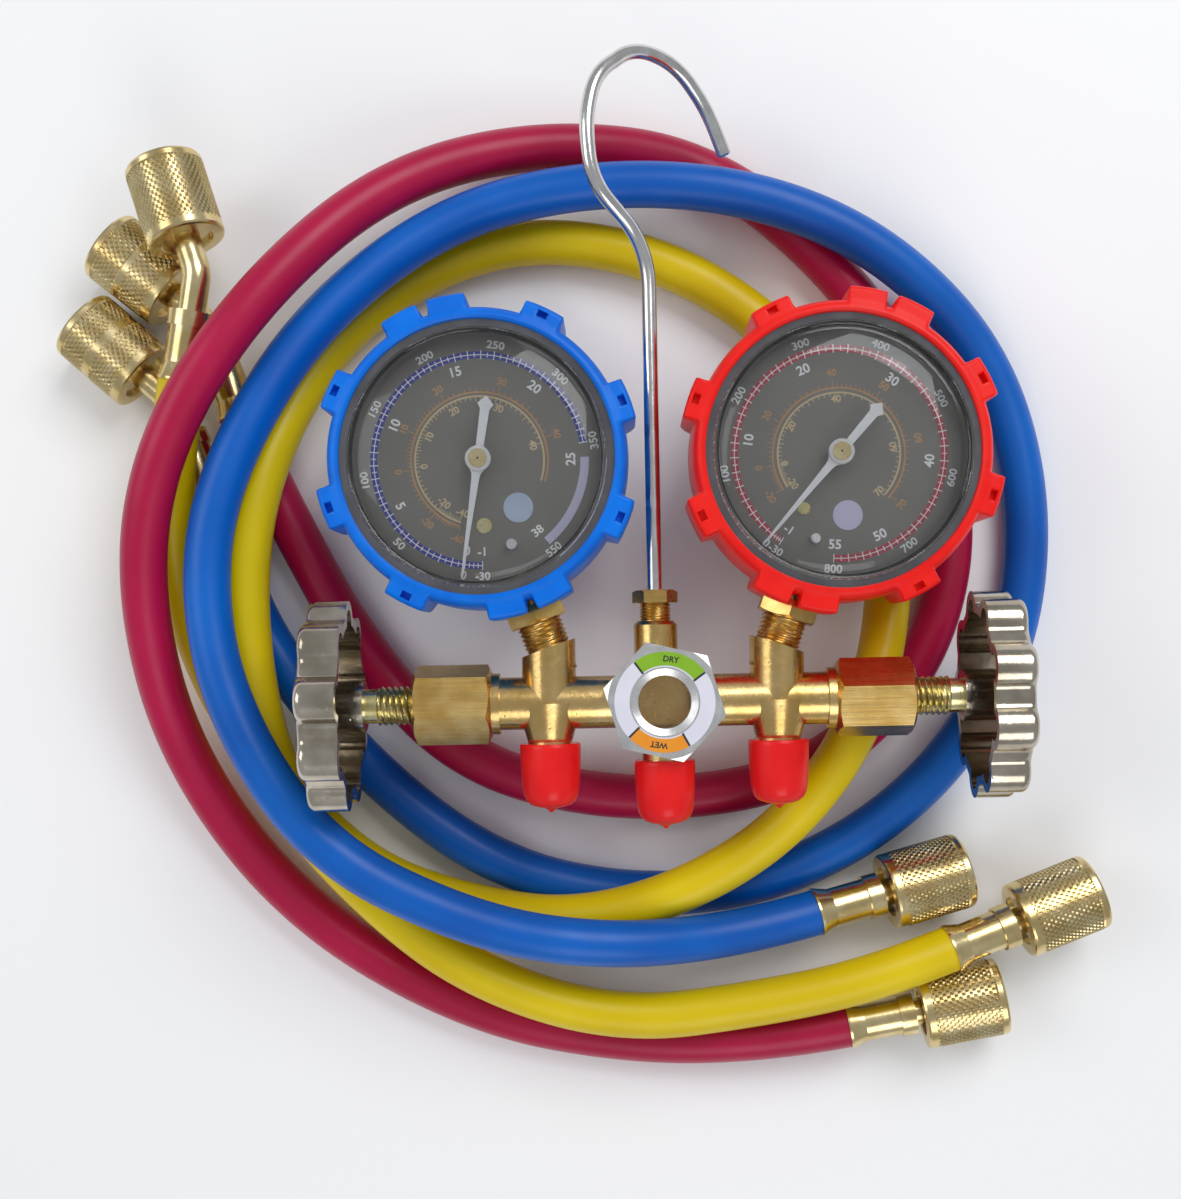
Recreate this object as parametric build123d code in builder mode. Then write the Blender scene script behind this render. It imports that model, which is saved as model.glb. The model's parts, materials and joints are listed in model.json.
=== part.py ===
# Two-valve refrigerant manifold: cast body, two bonneted valves, two rubber-booted gauges,
# a hanging hook, three capped ports and three service hoses lying round it. Millimetres, +Z up:
# the dials face +Z, the bar lies along X and the hook points along +Y.
# The origin is the mouth of the centre port, on its axis, at the height of the bar's axis.
import os
from math import asin, cos, degrees, pi, radians, sin, sqrt, tan

from build123d import *

os.makedirs("parts", exist_ok=True)

# floor, fits and shared clearances
running_gap = 0.05
free_gap = 0.3

# bar and its bosses
centre_port_reach = 29.2
side_port_reach = 24.5
bar_radius = 6.55
bar_half_length = 42.7
bar_shoulder_radius = 7.6
bar_shoulder_length = 2.0
port_pitch = 28.5
port_radius = 5.55
port_bore_radius = 3.0
port_saddle_radius = 8.4
port_saddle_reach = 9.6
port_mouth_chamfer = 0.8
gauge_boss_radius = 6.75
gauge_boss_reach = 13.75
gauge_thread_depth = 7.0
gallery_radius = 2.5
seat_face_reach = 21.0
chamber_radius = 4.6
spigot_radius = 5.5
spigot_length = 5.3

# hook, its boss and gland
hook_offset = -1.7
hook_boss_radius = 5.45
hook_boss_reach = 20.0
hook_well_reach = 8.5
gland_thread_radius = 3.55
gland_thread_length = 8.5
gland_visible_thread = 4.5
gland_flats = 9.8
gland_hex_length = 3.2
hook_wire_radius = 1.85
hook_head_radius = 2.9
hook_head_length = 1.6
hook_tilt = 36.0
hook_outline = [(0, 113.5), (-17, 127.5), (-18.5, 142), (-15.3, 154), (-3, 163), (10, 161), (19.8, 151.5), (25.6, 140.4)]

# sight glass in the middle of the bar
sight_boss_radius = 11.0
sight_boss_top = 6.6
sight_collar_radius = 8.9
sight_collar_height = 1.8
sight_well_radius = 6.5
sight_well_floor = -3.0
sight_nut_flats = 26.5
sight_nut_height = 4.9
sight_nut_turn = 46.5
sight_window_radius = 6.5
sight_bevel_radius = 8.2
sight_bevel_depth = 0.6
sight_seal_thickness = 0.7
sight_glass_thickness = 1.6
sight_glass_radius = 8.7
sight_label_inner = 8.6
sight_label_outer = 12.3
sight_label_thickness = 0.25

# valve bonnets, stems and seats
bonnet_flats = 17.6
bonnet_length = 19.6
bonnet_chamfer = 1.2
bonnet_turn = -17.0
bonnet_ring_room = 2.0
ring_wire_radius = 0.85
spindle_radius = 3.2
spindle_nose_radius = 1.45
stem_thread_radius = 4.9
stem_thread_start = 55.2
stem_thread_end = 71.0
stem_shank_radius = 4.3
seat_radius = 3.5
seat_thickness = 3.0
seat_lift = 4.55

# handwheels
knob_hub_radius = 6.4
knob_hub_start = 74.5
knob_rim_start = 78.0
knob_end = 88.0
knob_tip_radius = 26.4
knob_notch_radius = 22.6
knob_lobe_radius = 5.6
knob_lobes = 9
knob_wall = 2.2
knob_web = 2.6
knob_notch_fillet = 2.4
knob_edge_fillet = 2.0
knob_turn_low = 6.0
knob_turn_high = -20.0
knob_screw_radius = 1.9
knob_screw_length = 9.0
knob_screw_head_radius = 4.0
knob_screw_head_height = 2.4

# gauges
gauge_lean = 19.0
gauge_reach = 49.5
gauge_thread_radius = 5.15
gauge_visible_thread = 6.7
gauge_hex_flats = 14.0
gauge_hex_length = 4.6
case_radius = 34.0
case_wall = 1.0
case_back = -13.0
case_front = 11.5
bezel_inner_radius = 31.8
bezel_thickness = 1.0
boot_radius = 37.6
boot_lug_radius = 39.9
boot_back = -14.6
boot_front = 13.0
boot_lip_inner = 33.5
boot_back_inner = 26.0
lug_width = 11.0
lug_recess = 3.2
lens_thickness = 1.5
dial_thickness = 0.5
dial_bottom = 2.0
dial_hole_radius = 1.6
block_half_width = 8.0
block_length = 14.0
block_setback = 2.6
gauge_neck_radius = 3.9
block_bottom = -6.0
plate_half_width = 8.0
plate_length = 24.0
plate_thickness = 1.0
lower_plate_bottom = -4.0
post_radius = 1.2
post_spread = 6.2
pressure_bore_radius = 1.4
bourdon_radius = 22.0
bourdon_half_width = 1.5
bourdon_half_height = 3.6
bourdon_middle = -2.2
bourdon_sweep = 245.0
bourdon_entry = 4.0
arbor_radius = 0.8
pinion_radius = 1.05
pinion_thickness = 2.0
pinion_bottom = -1.6
arbor_cap_radius = 2.3
arbor_cap_thickness = 0.5
sector_pivot_drop = 12.0
sector_thickness = 1.0
sector_hub_radius = 2.2
sector_mesh_gap = 0.1
sector_first_angle = 52.0
sector_last_angle = 97.0
sector_tooth_pitch = 4.5
sector_tooth_depth = 0.45
pointer_bottom = 6.6
pointer_thickness = 0.6
pointer_hub_radius = 3.3
pointer_hub_height = 1.6
pointer_tip_radius = 29.5
pointer_tip_half_width = 0.45
pointer_root_half_width = 1.1
pointer_tail_radius = 15.5
pointer_tail_half_width = 2.2
pointer_arrow_half_width = 4.2
pointer_arrow_start = 9.5
pointer_zero_low = 261.2
pointer_zero_high = 228.9

# vinyl port caps
cap_radius = 7.6
cap_length = 15.9
cap_wall_end = 1.4
cap_nipple_radius = 1.6
cap_nipple_length = 1.0
cap_edge_radius = 1.2
side_cap_top = 10.1
centre_cap_top = 14.7

# hose fittings
hose_radius = 6.0
ferrule_length = 18.0
ferrule_lip_radius = 6.45
ferrule_body_radius = 5.2
ferrule_collar_radius = 5.9
ferrule_collar_length = 4.0
ferrule_bore_radius = 2.45
neck_radius = 3.6
neck_bore_radius = 1.6
neck_gap = 1.8
nut_radius = 10.1
nut_length = 22.0
nut_rim_round = 0.8
nut_recess_radius = 6.6
nut_recess_depth = 1.2
nut_back_length = 8.0
nut_thread_radius = 5.55
nut_thread_length = 10.0
nut_relief_radius = 5.9
flange_radius = 5.7
flange_thickness = 2.0
gasket_inner_radius = 2.4
gasket_outer_radius = 5.5
gasket_thickness = 1.6
elbow_first = 10.0
elbow_second = 9.0
elbow_radius = 8.0
elbow_direction = {"red": (141.0, 0.0), "blue": (138.0, 0.0), "yellow": (108.0, -8.0)}

# hose routes, chosen by hand: each starts at its straight end at the lower right,
# makes about one turn and a half round the manifold and ends at its bent end at the upper left
hose_route = {
    "red": [
        (48.5, -59.5, -30), (28.5, -63, -30.5), (-9, -64, -33.5), (-52.5, -55, -33.75), (-99, -27, -33.25),
        (-129, 16, -28.75), (-135, 61, -12.75), (-126, 97.5, -3.75), (-102, 133, -2.75), (-69.5, 166, -17.75),
        (-28.5, 180, -32.75), (14.5, 174.5, -33.75), (50.5, 144.5, -33.75), (75, 106, -33.75),
        (81, 72, -33.75), (73.5, 41, -33.75), (55, 18, -33.75), (27, 3, -33.75), (-18, 1.5, -33.75),
        (-57.5, 14.5, -33.75), (-84, 49, -33.75), (-96.5, 73, -33.75), (-105.5, 91.5, -33), (-111.5, 107.5, -31.75),
    ],
    "blue": [
        (40, -28.5, -24.75), (19.5, -33.5, -22), (-16, -33.5, -6.75), (-49.5, -27.5, -7), (-88.5, -8, -7.5),
        (-111.5, 28.5, -8), (-117.5, 64, -9.5), (-109.5, 94.5, -8.5), (-88.5, 129.5, -14.25), (-54, 157, -20.5),
        (-13.5, 165.5, -20.5), (28, 161.5, -19.75), (63, 146.5, -24.25), (91.5, 119, -33.75), (101.5, 79.5, -33.75),
        (96, 38, -33.75), (72, 2.5, -33.75), (34.5, -20.5, -33.75), (-6.5, -25.5, -33.75), (-47.5, -15.5, -33.75),
        (-84.5, 15.5, -33.75), (-108.5, 49.5, -33.75), (-116, 75, -32.5), (-120, 85.5, -31.75),
    ],
    "yellow": [
        (75, -38.5, -23), (55.5, -45.5, -21.25), (25.5, -51.5, -21.5), (-12.5, -56, -22.5), (-50.5, -43.5, -22),
        (-78, -21, -20.25), (-102, 7.5, -20.5), (-109.5, 50, -20.5), (-105.5, 86.5, -17.5), (-91, 121, -28.75),
        (-67.5, 143.5, -33.75), (-33.5, 155, -33.75), (5.5, 147.5, -33.75), (39, 123.5, -33.75), (59.5, 89.5, -33.25),
        (61.5, 54, -21.5), (51, 18, -14), (25, -13, -20.75), (-18, -30, -21.25), (-56, -26, -31.75),
        (-86, -13, -33.75), (-115, 23, -33.75), (-128.5, 58.5, -30.5), (-128, 88, -18), (-123, 114, -15.5),
    ],
}

# derived heights and places
lens_top = case_front - bezel_thickness - running_gap
lens_bottom = lens_top - lens_thickness
upper_plate_bottom = dial_bottom - plate_thickness
sides = {"low": -1, "high": 1}


# a turned form: the outline's points are radius and height along the place's Z axis
def turned(place, outline, mode=Mode.ADD):
    half_plane = Plane(origin=place.origin, x_dir=place.x_dir, z_dir=-place.y_dir)
    with BuildSketch(half_plane) as section:
        with BuildLine():
            Polyline(*outline, close=True)
        make_face()
    revolve(section.sketch, axis=Axis(place.origin, place.z_dir), mode=mode)


# a round bar or hole between two heights along the place's Z axis
def rod(place, radius, start, end, mode=Mode.ADD):
    with BuildSketch(place.offset(start)) as section:
        Circle(radius)
    extrude(section.sketch, amount=end - start, mode=mode)


# a hexagon between two heights
def hexagon(place, flats, start, end, angle=0.0, mode=Mode.ADD):
    with BuildSketch(place.offset(start)) as section:
        RegularPolygon(flats / sqrt(3), 6, rotation=angle)
    extrude(section.sketch, amount=end - start, mode=mode)


# the corner chamfer of a hexagon at one end: away is +1 at its top and -1 at its bottom
def cut_corners(place, flats, height, size, away):
    corner = flats / sqrt(3)
    turned(place, [
        (corner - 2 * size, height), (corner + 2, height - away * (size + 1)),
        (corner + 2, height + away), (corner - 2 * size, height + away),
    ], mode=Mode.SUBTRACT)


def save(piece, name):
    piece.part.label = name
    export_step(piece.part, f"parts/{name}.step")


# places shared by the pieces: the bar's axis outward to one side, a port down from the bar
# and a gauge's own plane, whose Y runs from its stem through its centre
def outward(side):
    return Plane(origin=(0, centre_port_reach, 0), x_dir=(0, 0, 1), z_dir=(side, 0, 0))


def port_place(offset):
    return Plane(origin=(offset, centre_port_reach, 0), x_dir=(1, 0, 0), z_dir=(0, -1, 0))


def stem_place(side):
    lean = radians(gauge_lean)
    foot = (side * port_pitch, centre_port_reach + gauge_boss_reach, 0)
    return Plane(origin=foot, x_dir=(0, 0, 1), z_dir=(side * sin(lean), cos(lean), 0))


def gauge_place(side):
    stem = stem_place(side)
    centre = stem.origin + stem.z_dir * gauge_reach
    return Plane(origin=centre, x_dir=stem.z_dir.cross(Vector(0, 0, 1)), z_dir=(0, 0, 1))


hook_place = Plane(origin=(hook_offset, centre_port_reach, 0), x_dir=(1, 0, 0), z_dir=(0, 1, 0))
sight_place = Plane(origin=(0, centre_port_reach, 0))

# manifold body: bar, shoulders, spigots, port and gauge bosses, hook boss and sight boss
with BuildPart() as manifold_body:
    for side in sides.values():
        out = outward(side)
        rod(out, bar_radius, 0, bar_half_length)
        rod(out, bar_shoulder_radius, bar_half_length - bar_shoulder_length, bar_half_length)
        rod(out, spigot_radius, bar_half_length, bar_half_length + spigot_length)
        boss_base = Plane(origin=(side * port_pitch, centre_port_reach, 0), x_dir=(1, 0, 0), z_dir=(0, 1, 0))
        rod(boss_base, gauge_boss_radius, 0, gauge_boss_reach + 2 * gauge_boss_radius * tan(radians(gauge_lean)))
    for offset, reach in ((-port_pitch, side_port_reach), (0, centre_port_reach), (port_pitch, side_port_reach)):
        turned(port_place(offset), [
            (0, 0), (port_saddle_radius, 0), (port_radius, port_saddle_reach), (port_radius, reach - port_mouth_chamfer),
            (port_radius - port_mouth_chamfer, reach), (0, reach),
        ])
    turned(hook_place, [
        (0, 0), (hook_boss_radius, 0), (hook_boss_radius, hook_boss_reach - 1), (hook_boss_radius - 1, hook_boss_reach),
        (0, hook_boss_reach),
    ])
    rod(sight_place, sight_boss_radius, -bar_radius, sight_boss_top)
    # the cast surface is faced off under the sight glass nut
    rod(sight_place, sight_nut_flats / sqrt(3), sight_boss_top, 2 * sight_boss_top, mode=Mode.SUBTRACT)
    rod(sight_place, sight_collar_radius, sight_boss_top, sight_boss_top + sight_collar_height)
    # the gauge bosses are faced square to the leaning stems
    for side in sides.values():
        rod(stem_place(side), 3 * gauge_boss_radius, 0, 4 * gauge_boss_radius, mode=Mode.SUBTRACT)
    # the gallery, the two valve chambers, the drillings and the threaded holes
    for side in sides.values():
        out = outward(side)
        rod(out, gallery_radius, 0, seat_face_reach, mode=Mode.SUBTRACT)
        rod(out, chamber_radius, seat_face_reach, bar_half_length + spigot_length, mode=Mode.SUBTRACT)
        rod(stem_place(side), gauge_thread_radius, -gauge_thread_depth, 0, mode=Mode.SUBTRACT)
        rod(stem_place(side), pressure_bore_radius, -gauge_boss_reach, 0, mode=Mode.SUBTRACT)
    for offset, reach in ((-port_pitch, side_port_reach), (0, centre_port_reach), (port_pitch, side_port_reach)):
        rod(port_place(offset), port_bore_radius, 0, reach, mode=Mode.SUBTRACT)
    rod(hook_place, gland_thread_radius + running_gap, hook_well_reach, hook_boss_reach, mode=Mode.SUBTRACT)
    rod(sight_place, sight_well_radius, sight_well_floor, sight_boss_top + sight_collar_height, mode=Mode.SUBTRACT)
save(manifold_body, "manifold_body")

# sight glass: seal, glass, hexagonal nut and the moisture label on the nut
collar_top = sight_boss_top + sight_collar_height
seal_top = collar_top + sight_seal_thickness
glass_top = seal_top + sight_glass_thickness
sight_top = sight_boss_top + sight_nut_height

with BuildPart() as sight_seal:
    rod(sight_place, sight_glass_radius, collar_top, seal_top)
    rod(sight_place, sight_well_radius, collar_top, seal_top, mode=Mode.SUBTRACT)
save(sight_seal, "sight_seal")

with BuildPart() as sight_glass:
    rod(sight_place, sight_glass_radius, seal_top, glass_top)
save(sight_glass, "sight_glass")

with BuildPart() as sight_nut:
    hexagon(sight_place, sight_nut_flats, sight_boss_top, sight_top, sight_nut_turn)
    cut_corners(sight_place, sight_nut_flats, sight_top, 0.7, 1)
    rod(sight_place, sight_collar_radius + running_gap, sight_boss_top, glass_top + running_gap, mode=Mode.SUBTRACT)
    turned(sight_place, [
        (0, glass_top), (sight_window_radius, glass_top), (sight_window_radius, sight_top - sight_bevel_depth),
        (sight_bevel_radius, sight_top), (0, sight_top),
    ], mode=Mode.SUBTRACT)
save(sight_nut, "sight_nut")

with BuildPart() as sight_label:
    rod(sight_place, sight_label_outer, sight_top, sight_top + sight_label_thickness)
    rod(sight_place, sight_label_inner, sight_top, sight_top + sight_label_thickness, mode=Mode.SUBTRACT)
save(sight_label, "sight_label")

# hook gland: a hexagon-headed screw with a bore that the hook's wire turns in
gland_hex_start = hook_boss_reach + gland_visible_thread
gland_top = gland_hex_start + gland_hex_length
gland_foot = hook_boss_reach - gland_thread_length
with BuildPart() as hook_gland:
    rod(hook_place, gland_thread_radius, gland_foot, gland_hex_start)
    hexagon(hook_place, gland_flats, gland_hex_start, gland_top)
    cut_corners(hook_place, gland_flats, gland_top, 0.5, 1)
    rod(hook_place, hook_wire_radius + running_gap, gland_foot, gland_top, mode=Mode.SUBTRACT)
save(hook_gland, "hook_gland")

# hook: one bent wire with a headed foot, lying over to one side at rest
hook_head_top = gland_foot - running_gap
hook_plane = Plane(
    origin=(hook_offset, centre_port_reach, 0),
    x_dir=(cos(radians(hook_tilt)), 0, -sin(radians(hook_tilt))),
    z_dir=(sin(radians(hook_tilt)), 0, cos(radians(hook_tilt))),
)


# the largest corner radii that leave a tangent run between neighbouring arcs
def corner_radii(points):
    spots = [Vector(*point) for point in points]
    radii = []
    for before, corner, after in zip(spots, spots[1:], spots[2:]):
        arriving, leaving = corner - before, after - corner
        half_turn = radians(arriving.get_angle(leaving)) / 2
        radii.append(0.45 * min(arriving.length, leaving.length) / tan(half_turn))
    return radii


with BuildPart() as hook:
    with BuildLine(hook_plane) as hook_line:
        hook_points = [(0, hook_head_top - hook_head_length / 2)] + hook_outline
        FilletPolyline(*hook_points, radius=corner_radii(hook_points))
    with BuildSketch(Plane(origin=hook_line.line @ 0, z_dir=hook_line.line % 0)) as hook_section:
        Circle(hook_wire_radius)
    sweep(hook_section.sketch, path=hook_line.line)
    rod(hook_place, hook_head_radius, hook_head_top - hook_head_length, hook_head_top)
    tip_end = hook.faces().filter_by(GeomType.PLANE).sort_by(Axis.Z)[0]
    chamfer(tip_end.edges(), 0.5)
save(hook, "hook")

# valves: bonnet, seal ring, stem, seat, handwheel and its screw on each side
bonnet_start = bar_half_length
bonnet_end = bonnet_start + bonnet_length
ring_room_start = bonnet_start + spigot_length + 0.2
ring_room_end = ring_room_start + bonnet_ring_room
knob_turns = {"low": knob_turn_low, "high": knob_turn_high}


# the handwheel's lobed outline, drawn inwards by a wall for the hollow
def lobed_outline(place, turn, inset):
    with BuildSketch(place) as outline:
        Circle(knob_notch_radius - inset)
        with PolarLocations(knob_tip_radius - knob_lobe_radius, knob_lobes, start_angle=turn):
            Circle(knob_lobe_radius - inset)
        if inset == 0:
            fillet(outline.vertices(), knob_notch_fillet)
    return outline.sketch


for name, side in sides.items():
    out = outward(side)

    with BuildPart() as bonnet:
        hexagon(out, bonnet_flats, bonnet_start, bonnet_end, bonnet_turn)
        cut_corners(out, bonnet_flats, bonnet_end, bonnet_chamfer, 1)
        cut_corners(out, bonnet_flats, bonnet_start, bonnet_chamfer, -1)
        rod(out, spigot_radius + running_gap, bonnet_start, ring_room_start, mode=Mode.SUBTRACT)
        rod(out, stem_thread_radius + running_gap, ring_room_start, bonnet_end, mode=Mode.SUBTRACT)
    save(bonnet, f"bonnet_{name}")

    with BuildPart() as stem_oring:
        ring_middle = spindle_radius + running_gap + ring_wire_radius
        ring_height = (ring_room_start + ring_room_end) / 2
        spot = Plane(origin=out.origin + out.z_dir * ring_height + out.x_dir * ring_middle, z_dir=out.y_dir)
        with BuildSketch(spot):
            Circle(ring_wire_radius)
        revolve(axis=Axis(out.origin, out.z_dir))
    save(stem_oring, f"stem_oring_{name}")

    seat_start = seat_face_reach + seat_lift
    with BuildPart() as seat:
        rod(out, seat_radius, seat_start, seat_start + seat_thickness)
        rod(out, spindle_nose_radius + running_gap, seat_start + seat_thickness / 2, seat_start + seat_thickness,
            mode=Mode.SUBTRACT)
    save(seat, f"seat_{name}")

    with BuildPart() as stem:
        spindle_start = seat_start + seat_thickness
        rod(out, spindle_nose_radius, spindle_start - seat_thickness / 2, spindle_start)
        rod(out, spindle_radius, spindle_start, stem_thread_start)
        rod(out, stem_thread_radius, stem_thread_start, stem_thread_end)
        rod(out, stem_shank_radius, stem_thread_end, knob_end - knob_web)
        rod(out, knob_screw_radius, knob_end - knob_screw_length, knob_end - knob_web, mode=Mode.SUBTRACT)
    save(stem, f"stem_{name}")

    with BuildPart() as knob:
        turn = knob_turns[name]
        extrude(lobed_outline(out.offset(knob_rim_start), turn, 0), amount=knob_end - knob_rim_start)
        outer_edge = knob.faces().sort_by(Axis(out.origin, out.z_dir))[-1].edges()
        fillet(outer_edge, knob_edge_fillet)
        extrude(lobed_outline(out.offset(knob_rim_start), turn, knob_wall),
                amount=knob_end - knob_web - knob_rim_start, mode=Mode.SUBTRACT)
        rod(out, knob_hub_radius, knob_hub_start, knob_end)
        rod(out, stem_shank_radius, knob_hub_start, knob_end - knob_web, mode=Mode.SUBTRACT)
        rod(out, knob_screw_radius, knob_end - knob_web, knob_end, mode=Mode.SUBTRACT)
    save(knob, f"knob_{name}")

    with BuildPart() as knob_screw:
        rod(out, knob_screw_radius, knob_end - knob_screw_length, knob_end)
        rod(out, knob_screw_head_radius, knob_end, knob_end + knob_screw_head_height)
        head_rim = knob_screw.edges().filter_by(GeomType.CIRCLE).sort_by(Axis(out.origin, out.z_dir))[-1]
        fillet(head_rim, 0.8)
        with BuildSketch(out.offset(knob_end + knob_screw_head_height)):
            Rectangle(2.6 * knob_screw_radius, 0.9)
            Rectangle(0.9, 2.6 * knob_screw_radius)
        extrude(amount=-1.2, mode=Mode.SUBTRACT)
    save(knob_screw, f"knob_screw_{name}")

# gauges: boot, case, socket with its movement plates, bourdon tube, sector, arbor, pointer, dial and lens
hex_start = gauge_visible_thread
hex_end = hex_start + gauge_hex_length
upper_plate_top = upper_plate_bottom + plate_thickness
lower_plate_top = lower_plate_bottom + plate_thickness
block_far = -case_radius + block_setback
block_near = block_far + block_length
zero_angle = {"low": pointer_zero_low - gauge_lean, "high": pointer_zero_high + gauge_lean}


# a straight bar or prism lying across the gauge, between two distances along its Y
def slab(place, half_width, near, far, bottom, top, mode=Mode.ADD):
    with BuildSketch(place.offset(bottom)) as section:
        with Locations((0, (near + far) / 2)):
            Rectangle(2 * half_width, far - near)
    extrude(section.sketch, amount=top - bottom, mode=mode)


for name, side in sides.items():
    dial_place = gauge_place(side)
    stem_axis = stem_place(side)
    pivot = Plane(
        origin=dial_place.from_local_coords((0, -sector_pivot_drop, 0)), x_dir=dial_place.x_dir, z_dir=(0, 0, 1),
    )

    with BuildPart() as case:
        rod(dial_place, case_radius, case_back, case_front)
        rod(dial_place, case_radius - case_wall, case_back + case_wall, case_front - bezel_thickness,
            mode=Mode.SUBTRACT)
        rod(dial_place, bezel_inner_radius, case_front - bezel_thickness, case_front, mode=Mode.SUBTRACT)
        rod(stem_axis, gauge_neck_radius + running_gap, hex_start, gauge_reach - case_radius + 2 * case_wall,
            mode=Mode.SUBTRACT)
    save(case, f"gauge_case_{name}")

    with BuildPart() as boot:
        boot_inner = case_radius + running_gap
        turned(dial_place, [
            (boot_back_inner, boot_back), (boot_radius - 1.5, boot_back), (boot_radius, boot_back + 1.5),
            (boot_radius, boot_front - 1.5), (boot_radius - 1.5, boot_front), (boot_lip_inner, boot_front),
            (boot_lip_inner, case_front + running_gap), (boot_inner, case_front + running_gap),
            (boot_inner, case_back - running_gap), (boot_back_inner, case_back - running_gap),
        ])
        with BuildSketch(dial_place.offset(boot_back + 1)) as lugs:
            lug_middle = (boot_radius + boot_lug_radius) / 2 - 1
            lug_depth = boot_lug_radius - boot_radius + 2
            for angle in (-133, -89, -45, 45, 89, 133, -11.5, 11.5, 168.5, 191.5):
                with PolarLocations(lug_middle, 1, start_angle=90 + angle):
                    Rectangle(lug_depth, lug_width)
        extrude(lugs.sketch, amount=boot_front - boot_back - 2)
        with BuildSketch(dial_place.offset(boot_front - 1)) as pockets:
            for angle in (-133, -89, -45, 45, 89, 133):
                with PolarLocations(boot_lug_radius - 0.6, 1, start_angle=90 + angle):
                    Rectangle(1.2 + running_gap, lug_recess)
        extrude(pockets.sketch, amount=-5, mode=Mode.SUBTRACT)
        rod(stem_axis, gauge_neck_radius + running_gap, hex_start, gauge_reach - case_radius + 2 * case_wall,
            mode=Mode.SUBTRACT)
        rod(stem_axis, gauge_hex_flats / sqrt(3) + free_gap, hex_start, hex_end + running_gap, mode=Mode.SUBTRACT)
    save(boot, f"gauge_boot_{name}")

    bourdon_first = degrees(asin((block_half_width - bourdon_entry) / bourdon_radius)) - 90
    with BuildPart() as bourdon_tube:
        with BuildLine(dial_place.offset(bourdon_middle)) as bourdon_line:
            CenterArc((0, 0), bourdon_radius, bourdon_first, bourdon_sweep)
        with BuildSketch(Plane(
            origin=bourdon_line.line @ 0, x_dir=(0, 0, 1), z_dir=bourdon_line.line % 0,
        )) as bourdon_section:
            RectangleRounded(2 * bourdon_half_height, 2 * bourdon_half_width, bourdon_half_width - 0.1)
        sweep(bourdon_section.sketch, path=bourdon_line.line)
    save(bourdon_tube, f"bourdon_tube_{name}")

    with BuildPart() as socket:
        rod(stem_axis, gauge_thread_radius, -gauge_thread_depth + running_gap, hex_start)
        rod(stem_axis, gauge_neck_radius, hex_start, gauge_reach + block_far + 1)
        hexagon(stem_axis, gauge_hex_flats, hex_start, hex_end)
        cut_corners(stem_axis, gauge_hex_flats, hex_start, 0.7, -1)
        slab(dial_place, block_half_width, block_far, block_near, block_bottom, upper_plate_top)
        slab(dial_place, plate_half_width, block_near, block_near + plate_length, lower_plate_bottom, lower_plate_top)
        slab(dial_place, plate_half_width, block_near, block_near + plate_length, upper_plate_bottom, upper_plate_top)
        for spread in (-post_spread, post_spread):
            post = dial_place.offset(lower_plate_bottom)
            spot = Plane(origin=post.from_local_coords((spread, block_near + plate_length - 2, 0)), z_dir=(0, 0, 1))
            rod(spot, post_radius, 0, upper_plate_top - lower_plate_bottom)
        for spot in (dial_place, pivot):
            rod(spot, arbor_radius + running_gap, lower_plate_bottom, upper_plate_top, mode=Mode.SUBTRACT)
        # the arc of the bourdon tube enters the block's side
        with BuildLine(dial_place.offset(bourdon_middle)) as pocket_line:
            CenterArc((0, 0), bourdon_radius, bourdon_first - 0.2, 30)
        with BuildSketch(Plane(
            origin=pocket_line.line @ 0, x_dir=(0, 0, 1), z_dir=pocket_line.line % 0,
        )) as pocket_section:
            Rectangle(2 * bourdon_half_height + 0.1, 2 * bourdon_half_width + 0.1)
        sweep(pocket_section.sketch, path=pocket_line.line, mode=Mode.SUBTRACT)
        rod(stem_axis, pressure_bore_radius, -gauge_thread_depth, gauge_reach + block_near - 6, mode=Mode.SUBTRACT)
        # the neck is flattened under the dial's edge
        rod(dial_place, case_radius - case_wall, dial_bottom, case_front, mode=Mode.SUBTRACT)
    save(socket, f"gauge_socket_{name}")

    with BuildPart() as sector:
        sector_radius = sector_pivot_drop - pinion_radius - sector_mesh_gap
        sector_bottom = pinion_bottom + (pinion_thickness - sector_thickness) / 2
        sector_span = sector_last_angle - sector_first_angle
        with BuildSketch(pivot.offset(sector_bottom)):
            Circle(sector_hub_radius)
            with BuildLine():
                rim = CenterArc((0, 0), sector_radius - sector_tooth_depth, sector_first_angle, sector_span)
                Polyline(rim @ 1, (0, 0), rim @ 0)
            make_face()
            teeth = int(sector_span / sector_tooth_pitch)
            with PolarLocations(sector_radius - sector_tooth_depth, teeth, start_angle=sector_first_angle + 2,
                                angular_range=sector_span - 4):
                Rectangle(2 * sector_tooth_depth, sector_tooth_depth)
        extrude(amount=sector_thickness)
        rod(pivot, arbor_radius, lower_plate_bottom, upper_plate_top)
    save(sector, f"sector_{name}")

    pointer_top = pointer_bottom + pointer_hub_height
    with BuildPart() as arbor:
        rod(dial_place, arbor_radius, lower_plate_bottom, pointer_top)
        rod(dial_place, pinion_radius, pinion_bottom, pinion_bottom + pinion_thickness)
        rod(dial_place, arbor_cap_radius, pointer_top, pointer_top + arbor_cap_thickness)
    save(arbor, f"arbor_{name}")

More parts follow.
